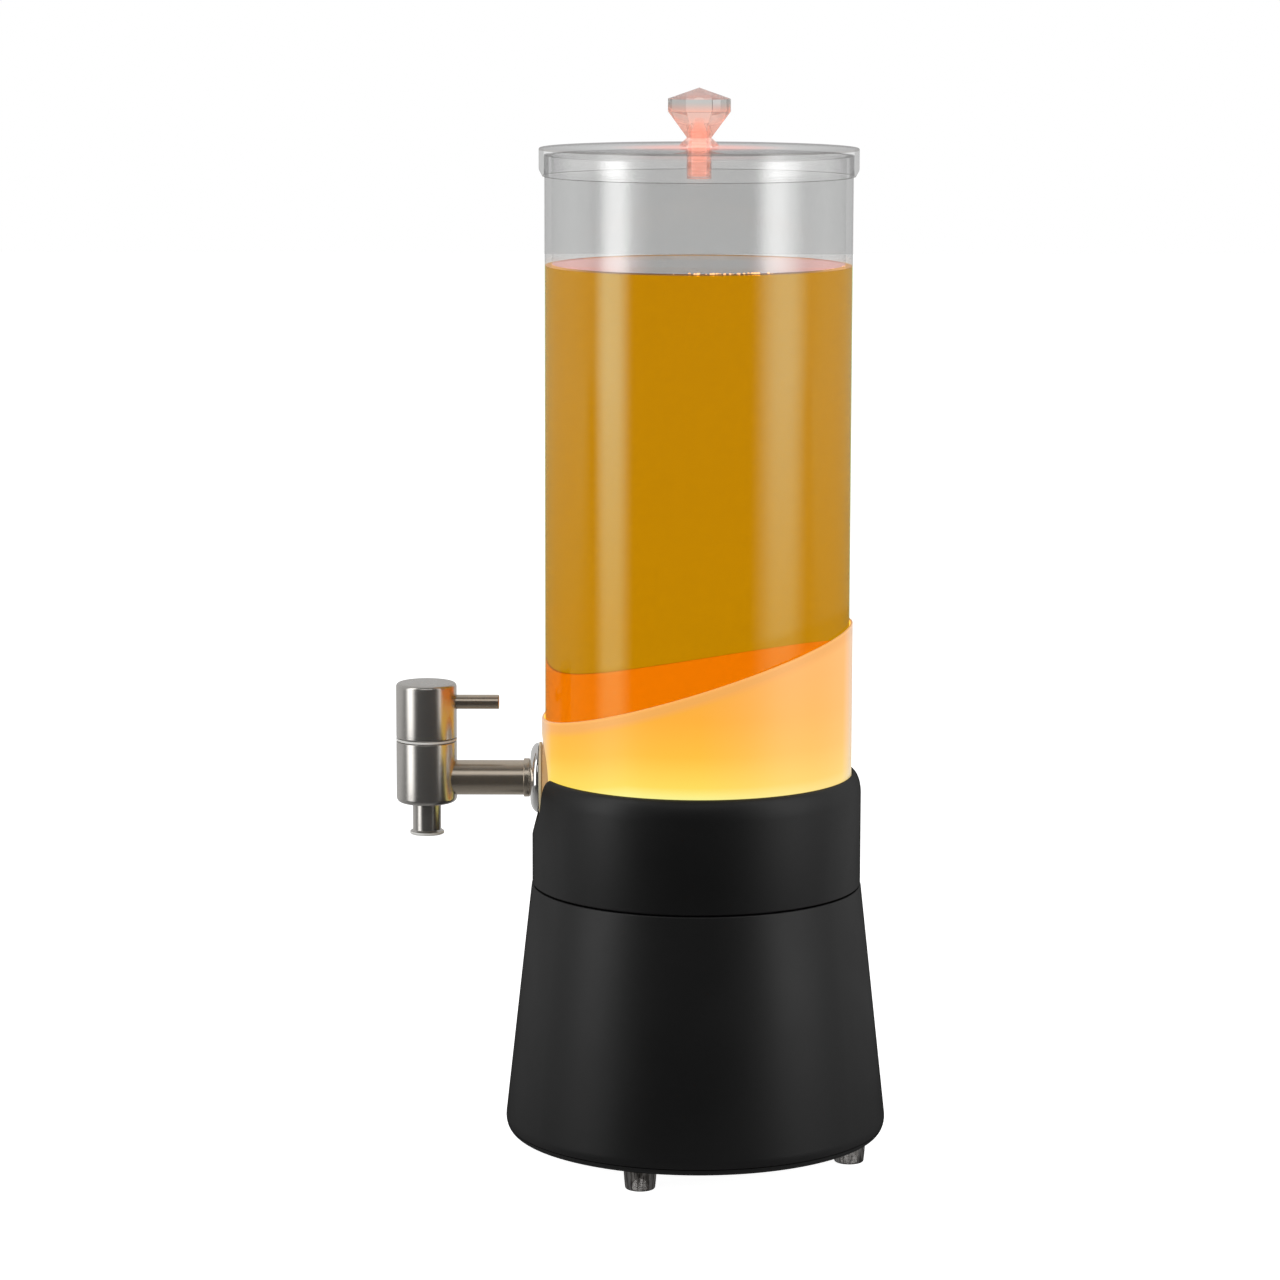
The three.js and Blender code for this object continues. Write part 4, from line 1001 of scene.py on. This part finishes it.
# %% Barrel and arm
tap_x, tap_out = -115.9, 115.9
barrel_radius, barrel_low, barrel_high, barrel_edge = 13, 143.5, 170.1, 2.2
arm_radius, bead_radius, bead_low, bead_high = 7.5, 8.3, 71.6, 74.2
arm_bore, barrel_bore, bore_floor, outlet_bore = 4.5, 9, 147, 5.7
end_face = 0.95


def on_tap(outline, steps=tap_steps):
    """An outline turned about the tap's upright axis."""
    return moved(turned(outline, steps), x=tap_x)


def barrel_part(face):
    """The arm, a flat end or the barrel's side."""
    if face.center.x > (tap_x + barrel_radius - 0.05) * mm:
        return 1
    return 2 if abs(face.normal.z) > end_face else 0


barrel = made("tap_barrel_and_arm", on_tap([
    (0, barrel_low),
    *arc(barrel_radius - barrel_edge, barrel_low + barrel_edge, barrel_edge, barrel_edge, -90, 0),
    (barrel_radius, barrel_high, 0.4), (0, barrel_high)]))
carved(barrel, along_tap(turned([
    (0, boss_inner), (arm_radius, boss_inner, 0.4), (arm_radius, bead_low), (bead_radius, bead_low, 0.4),
    (bead_radius, bead_high, 0.4), (arm_radius, bead_high), (arm_radius, tap_out), (0, tap_out)],
    ring_steps)), operation="UNION")
carved(barrel, along_tap(disc(arm_bore, 49, tap_out, hole_steps)),
       moved(disc(barrel_bore, bore_floor, 172, 64), x=tap_x),
       moved(disc(outlet_bore, 140, 154, 64), x=tap_x))
hand_over(barrel, "tank", "brushed_steel", [steel_upright, steel_along_painted_warm, steel_ends], "tap_body",
          choice=barrel_part)

# %% Nozzle and pale washer
nozzle_low, lip_height, nozzle_high = 129.5, 130.7, 146.4
nozzle_bore, nozzle_radius, nozzle_lip, nozzle_neck = 4.2, 6.1, 7.35, 5.4
tube_start, shoulder_height = 131.5, 143.2
washer_low, washer_high, washer_bore = 170.4, 171.4, 6.3
nozzle = made("tap_nozzle", on_tap([
    (nozzle_bore, nozzle_low, 0.3), (nozzle_lip, nozzle_low, 0.6), (nozzle_lip, lip_height, 0.3),
    (nozzle_radius, tube_start), (nozzle_radius, shoulder_height), (nozzle_neck, shoulder_height),
    (nozzle_neck, nozzle_high), (nozzle_bore, nozzle_high)], ring_steps))
hand_over(nozzle, "tank", "brushed_steel", [steel_upright, pale_polymer], "nozzle",
          choice=lambda face: 1 if face.center.z < (lip_height + 0.05) * mm else 0)

ring = disc(barrel_radius, washer_low, washer_high, tap_steps, washer_bore, (0.2, 0.2))
washer = made("tap_pale_washer", moved(ring, x=tap_x))
hand_over(washer, "tank", "pale_polymer", [pale_polymer], "tap_washer")

# %% Head and lever
head_low, head_high, head_edge, head_roof = 171.7, 195.3, 1.6, 5
lever_height, lever_radius, lever_start, lever_end = 186.9, 3.1, 3.5, 31.2
head = made("tap_turning_head", on_tap([
    (0, head_high - head_roof), (washer_bore, head_high - head_roof), (washer_bore, head_low, 0.3),
    (barrel_radius, head_low, 0.4),
    *arc(barrel_radius - head_edge, head_high - head_edge, head_edge, head_edge, 0, 90, 8), (0, head_high)]))
lever_hole = laid(disc(lever_radius + 0.3, lever_start - 0.3, lever_end, hole_steps), quarter_turn)
carved(head, moved(lever_hole, x=tap_x, z=lever_height))
hand_over(head, "tap_turner", "brushed_steel", [steel_upright, steel_ends], "tap_head",
          choice=lambda face: 1 if abs(face.normal.z) > end_face else 0)

rod = disc(lever_radius, lever_start, lever_end, 64, soft=(0, 0.5))
lever = made("tap_lever_rod", moved(laid(rod, quarter_turn), x=tap_x, z=lever_height))
hand_over(lever, "tap_turner", "brushed_steel", [steel_along_painted_warm], "tap_lever")

# %% [markdown]
# ## Lid and knob
# The lid is one clear moulding over the tube's rim. The knob is turned in only eight steps, which gives it
# the flat facets of a cut stone, and joined with its round stem, which goes down through the lid. A
# threaded stud inside it takes the red light up.

# %% Lid
lid_radius, lid_inner, stem_hole = 67.4, 65.3, 5.5
lid_under, lid_top = 420.2, 423.2
lid = made("lid_moulding", turned([
    (stem_hole, lid_under), (lid_inner, lid_under, 0.3), (lid_inner, lid_low, 0.2),
    (lid_radius - 1.5, lid_low, 0.3), (lid_radius, lid_low + 2.8, 0.6), (lid_radius, lid_top, 0.9),
    (stem_hole, lid_top)], fine_steps))


def lid_part(face):
    """The rounded and the cut edges, the flat top or the rest."""
    rounded = 0.1 < face.normal.z < 0.97 and face.center.z > (lid_top - 1) * mm
    if rounded or face.center.z < (lid_low + 0.4) * mm:
        return 1
    return 2 if face.normal.z > 0.97 else 0


hand_over(lid, "lid", "clear_acrylic", [lid_clear, cut_edge_painted_dark, lid_flat], "lid_cap", choice=lid_part)

# %% Knob
facets = 8
corner_radius = 13.1 / math.cos(math.pi / facets)
neck_radius, neck_low, cone_low, girdle_low, girdle_high, knob_tip = 5.45, 426.3, 427.3, 438.4, 443.5, 448.2
stem_radius, stem_low, foot_radius, foot_low, foot_high = 5.2, 410.2, 8.35, 423.5, 424.3
stone = turned([
    (0, neck_low), (neck_radius, neck_low), (neck_radius, cone_low), (corner_radius, girdle_low),
    (corner_radius, girdle_high), (0, knob_tip)], facets)
bmesh.ops.rotate(stone, matrix=Matrix.Rotation(math.pi / facets, 3, "Z"), verts=stone.verts)
knob = made("cut_knob", stone)
carved(knob, turned([
    (0, stem_low), (stem_radius, stem_low, 0.5), (stem_radius, foot_low), (foot_radius, foot_low),
    (foot_radius, foot_high, 0.3), (stem_radius, cone_low), (0, cone_low)], 64), operation="UNION")
hand_over(knob, "lid", "clear_acrylic", [knob_clear], "knob", sharp=20)

stud_radius, stud_low, stud_high = 3.3, 411.2, 435.5
thread_pitch, thread_depth = 1.6, 0.45
turns = int((stud_high - stud_low - 3) / thread_pitch)
thread = [(stud_radius - thread_depth * (i % 2), stud_low + 1 + i * thread_pitch / 2)
          for i in range(2 * turns)]
stud = made("knob_stud", turned([
    (0, stud_low), (stud_radius - 0.6, stud_low), *thread, (1.6, stud_high), (0, stud_high)], 32))
hand_over(stud, "lid", "pale_polymer", [red_stud])

# %% [markdown]
# ## Small repeated parts
# Feet, screws and lamps stand on circles. Geometry Nodes put copies of one turned shape on a circle, with
# the count, the radius and the first angle as inputs, and the result becomes one plain mesh.


# %% Copies on a circle
def node_tree(name, inputs):
    """Begin a Geometry Nodes tree; gives its input node, and the tree with its inputs' identifiers."""
    tree = bpy.data.node_groups.new(name, "GeometryNodeTree")
    begin(tree)
    marks = {}
    for label, kind in inputs.items():
        socket = tree.interface.new_socket(name=label, in_out="INPUT", socket_type="NodeSocket" + kind)
        marks[label] = socket.identifier
    tree.interface.new_socket(name="Geometry", in_out="OUTPUT", socket_type="NodeSocketGeometry")
    return put("NodeGroupInput"), (tree, marks)


def end_tree(given, last):
    """Close a tree with Realize Instances and Set Material."""
    real = put("GeometryNodeRealizeInstances", {0: last})
    coat = put("GeometryNodeSetMaterial", {0: real, "Material": (given, "Finish")})
    put("NodeGroupOutput", {0: coat})


def grown(name, plan, values):
    """Run a tree on an empty mesh and keep the result as a plain mesh."""
    tree, marks = plan
    piece = made(name, bmesh.new())
    step = piece.modifiers.new(tree.name, "NODES")
    step.node_group = tree
    for label, value in values.items():
        step[marks[label]] = value
    return settled(piece)


given, circle_plan = node_tree("copies on a circle", {
    "Count": "Int", "Circle": "Float", "First angle": "Float", "Copy": "Object", "Finish": "Material"})
spots = put("GeometryNodeMeshCircle", {"Vertices": (given, "Count"), "Radius": (given, "Circle")})
angle = put("CombineXYZ", {"Z": (given, "First angle")})
turned_spots = put("GeometryNodeTransform", {"Geometry": spots, "Rotation": angle})
shape = put("GeometryNodeObjectInfo", {"Object": (given, "Copy")})
copies = put("GeometryNodeInstanceOnPoints", {"Points": turned_spots, "Instance": (shape, "Geometry")})
end_tree(given, copies)


def on_circle(name, source, count, circle, first_angle, finish):
    """Copies of a source object on a circle of mm about the tower's axis."""
    piece = grown(name, circle_plan, {
        "Count": count, "Circle": circle * mm, "First angle": math.radians(first_angle), "Copy": source,
        "Finish": finish})
    bpy.data.objects.remove(source)
    return piece


print("tree for copies on a circle made")

# %% Feet
stem, stem_end, under_plate = 2.5, 2.5, -0.3
standing, sole, waist, widest = -9, 6.3, 6.7, 7
foot_shape = made("foot_shape", turned([
    (0, standing), (sole, standing, 0.8), (waist, -5), (widest, -0.6, 0.3), (widest, under_plate, 0.2),
    (stem, under_plate), (stem, stem_end, 0.3), (0, stem_end)], 64))
feet = on_circle("clear_feet", foot_shape, 4, foot_circle, -110, smoked_foot)
hand_over(feet, "base", "foot_smoked", None, "foot_1", "foot_2", "foot_3", "foot_4")


# %% Screws
def screw_shape(length, under_head):
    """A pan-headed screw with a hexagon socket, head down; its thread is fine rings."""
    thread = []
    height = 1.4
    while height < length - 0.9:
        thread += [(1.5, height), (1.28, height + 0.25)]
        height += 0.5
    shape = made("screw_shape", turned([
        (0, -1.3), (2.4, -1.3), (2.8, -0.8, 0.2), (2.8, 0, 0.1), (1.5, 0), *thread, (1.5, length - 0.6),
        (0.6, length), (0, length)], 24))
    carved(shape, disc(1.2, -2.3, -0.6, 6))
    shape.data.transform(Matrix.Translation((0, 0, under_head * mm)))
    return shape


for name, count, circle, first_angle, length, under_head in (
        ("plate_screw", 4, screw_circle, 25, 11, 1.4), ("collar_screw", 3, 61, 30, 10, 97.6),
        ("board_screw", 3, 50, 90, 7, 109.8)):
    screws = on_circle(f"{name}s", screw_shape(length, under_head), count, circle, first_angle, steel_bright)
    hand_over(screws, "base", "bright_steel", None, *[f"{name}_{i + 1}" for i in range(count)])

# %% Lamps
lamp_low, lamp_radius, lamp_flange, lamp_dome = 112, 2.5, 2.9, 117.5
lamp_circle = 30
lamp_shape = made("lamp_shape", turned([
    (0, lamp_low), (lamp_flange, lamp_low), (lamp_flange, lamp_low + 1, 0.1), (lamp_radius, lamp_low + 1),
    *arc(0, lamp_dome, lamp_radius, lamp_radius, 0, 90, 8)[:-1], (0, lamp_dome + lamp_radius)], 32))
lamps = on_circle("round_lamps", lamp_shape, 6, lamp_circle, 0, epoxy)
hand_over(lamps, "base", "led_clear", None, *[f"led_{i}" for i in range(1, 7)])

# %% [markdown]
# ## Battery cover
# The cover has a shallow grip with ribs, which a thumb can push. The ribs are a row of blocks, again by
# Geometry Nodes.

# %% Battery cover
cover_middle = (bay_low + bay_high) / 2
grip_x = cover_middle.x - 20
rib_step, rib_count = 1.7, 5
cover = made("bay_cover", block(bay_high - bay_low, cover_middle))
carved(cover, block((9, 16, 1.2), (grip_x, bay_y, 0)))
cover_screw_low, cover_screw_high = [corner * 1000 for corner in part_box("cover_screw")]
screw_x = (cover_screw_low.x + cover_screw_high.x) / 2
sunk(cover, screw_x, bay_y, 1.6, 3)
given, row_plan = node_tree("row of ribs", {
    "Count": "Int", "Start": "Vector", "Step": "Vector", "Size": "Vector", "Finish": "Material"})
line = put("GeometryNodeMeshLine", {
    "Count": (given, "Count"), "Start Location": (given, "Start"), "Offset": (given, "Step")})
bar = put("GeometryNodeMeshCube", {"Size": (given, "Size")})
end_tree(given, put("GeometryNodeInstanceOnPoints", {"Points": line, "Instance": bar}))
ribs = grown("grip_ribs", row_plan, {
    "Count": rib_count, "Start": ((grip_x - 2 * rib_step) * mm, bay_y * mm, 0.36 * mm),
    "Step": (rib_step * mm, 0, 0), "Size": (0.7 * mm, 15 * mm, 0.52 * mm), "Finish": satin_black})
hand_over(ribs, "base", "base_black", None, sharp=20)
hand_over(cover, "base", "base_black", [satin_black], "battery_cover")

# %% [markdown]
# ## Bubbles at the drink's rim
# A few bubbles stand where the drink meets the wall, mostly at the front, and a painted glow makes them
# glint. Random values with fixed seeds spread them along the rim and give each its size.

# %% Bubbles
given, bubble_plan = node_tree("bubbles on a rim", {
    "Count": "Int", "From angle": "Float", "To angle": "Float", "Rim": "Float", "Level": "Float",
    "Smallest": "Float", "Largest": "Float", "Seed": "Int", "Finish": "Material"})


def random_between(low, high, seed_shift):
    """A random number between two values or inputs, with a fixed seed."""
    seed = sums("ADD", (given, "Seed"), seed_shift)
    return put("FunctionNodeRandomValue", {2: low, 3: high, "Seed": seed}, data_type="FLOAT")


angle = random_between((given, "From angle"), (given, "To angle"), 0)
from_axis = sums("MULTIPLY", random_between(0.978, 1.0, 7), (given, "Rim"))
x, y = [sums("MULTIPLY", sums(operation, angle), from_axis) for operation in ("COSINE", "SINE")]
spot = put("CombineXYZ", {"X": x, "Y": y, "Z": (given, "Level")})
spots = put("GeometryNodePoints", {"Count": (given, "Count"), "Position": spot})
ball = put("GeometryNodeMeshIcoSphere", {"Radius": 1.0, "Subdivisions": 2})
size = random_between((given, "Smallest"), (given, "Largest"), 13)
end_tree(given, put("GeometryNodeInstanceOnPoints", {"Points": spots, "Instance": ball, "Scale": size}))

for name, count, start, end, smallest, largest, seed in (
        ("rim_bubbles", 24, -170, -10, 0.15, 0.3, 3), ("front_bubbles", 40, -95, -62, 0.3, 0.75, 11)):
    bubbles = grown(name, bubble_plan, {
        "Count": count, "From angle": math.radians(start), "To angle": math.radians(end),
        "Rim": (rim_radius + 0.7) * mm, "Level": (drink_level + 0.3) * mm, "Smallest": smallest * mm,
        "Largest": largest * mm, "Seed": seed, "Finish": froth_painted_glow})
    hand_over(bubbles, "tank", "clear_acrylic", None)

# %% [markdown]
# ## Light unit and pad
# These sit inside and show only when the tank is lifted out. The lens is a frosted disc over the lamps, and
# the pad a grooved rubber ring that carries the tank. All other parts keep their CAD shapes and only get a
# finish.

# %% Lens, pad and what stays from the CAD
lens_radius, lens_low, lens_high = 47.7, 124.7, 126.4
pad_inner, pad_outer, pad_low, pad_high = 52, 62, 126.7, 128.2
groove, groove_inner, groove_outer, groove_lean = 127.8, 55.5, 58.5, 0.3
lens = made("lens_disc", disc(lens_radius, lens_low, lens_high, tap_steps, soft=(0, 0.5)))
hand_over(lens, "base", "frosted_acrylic", [lens_glow], "light_lens")
pad = made("seat_pad_ring", turned([
    (pad_inner, pad_low), (pad_outer, pad_low), (pad_outer, pad_high, 0.4), (groove_outer, pad_high, 0.3),
    (groove_outer - groove_lean, groove), (groove_inner + groove_lean, groove), (groove_inner, pad_high, 0.3),
    (pad_inner, pad_high, 0.4)], tap_steps))
hand_over(pad, "base", "black_rubber", [rubber_black], "seat_pad")

dress(satin_black, "deck", "switch_housing")
dress(green_board, "led_board")
dress(cell_sleeve, "battery_1", "battery_2", "battery_3")
dress(steel_bright, "contact_strip_outer", "contact_strip_inner", "cover_screw", "valve_retainer", "lock_nut")
dress(lead_red, "battery_lead", "switch_lead")
dress(pale_silicone, "inner_gasket")
dress(pale_polymer, "valve_plug")
dress(rubber_black, "plug_seal")
dress(button_rubber, "switch_button")
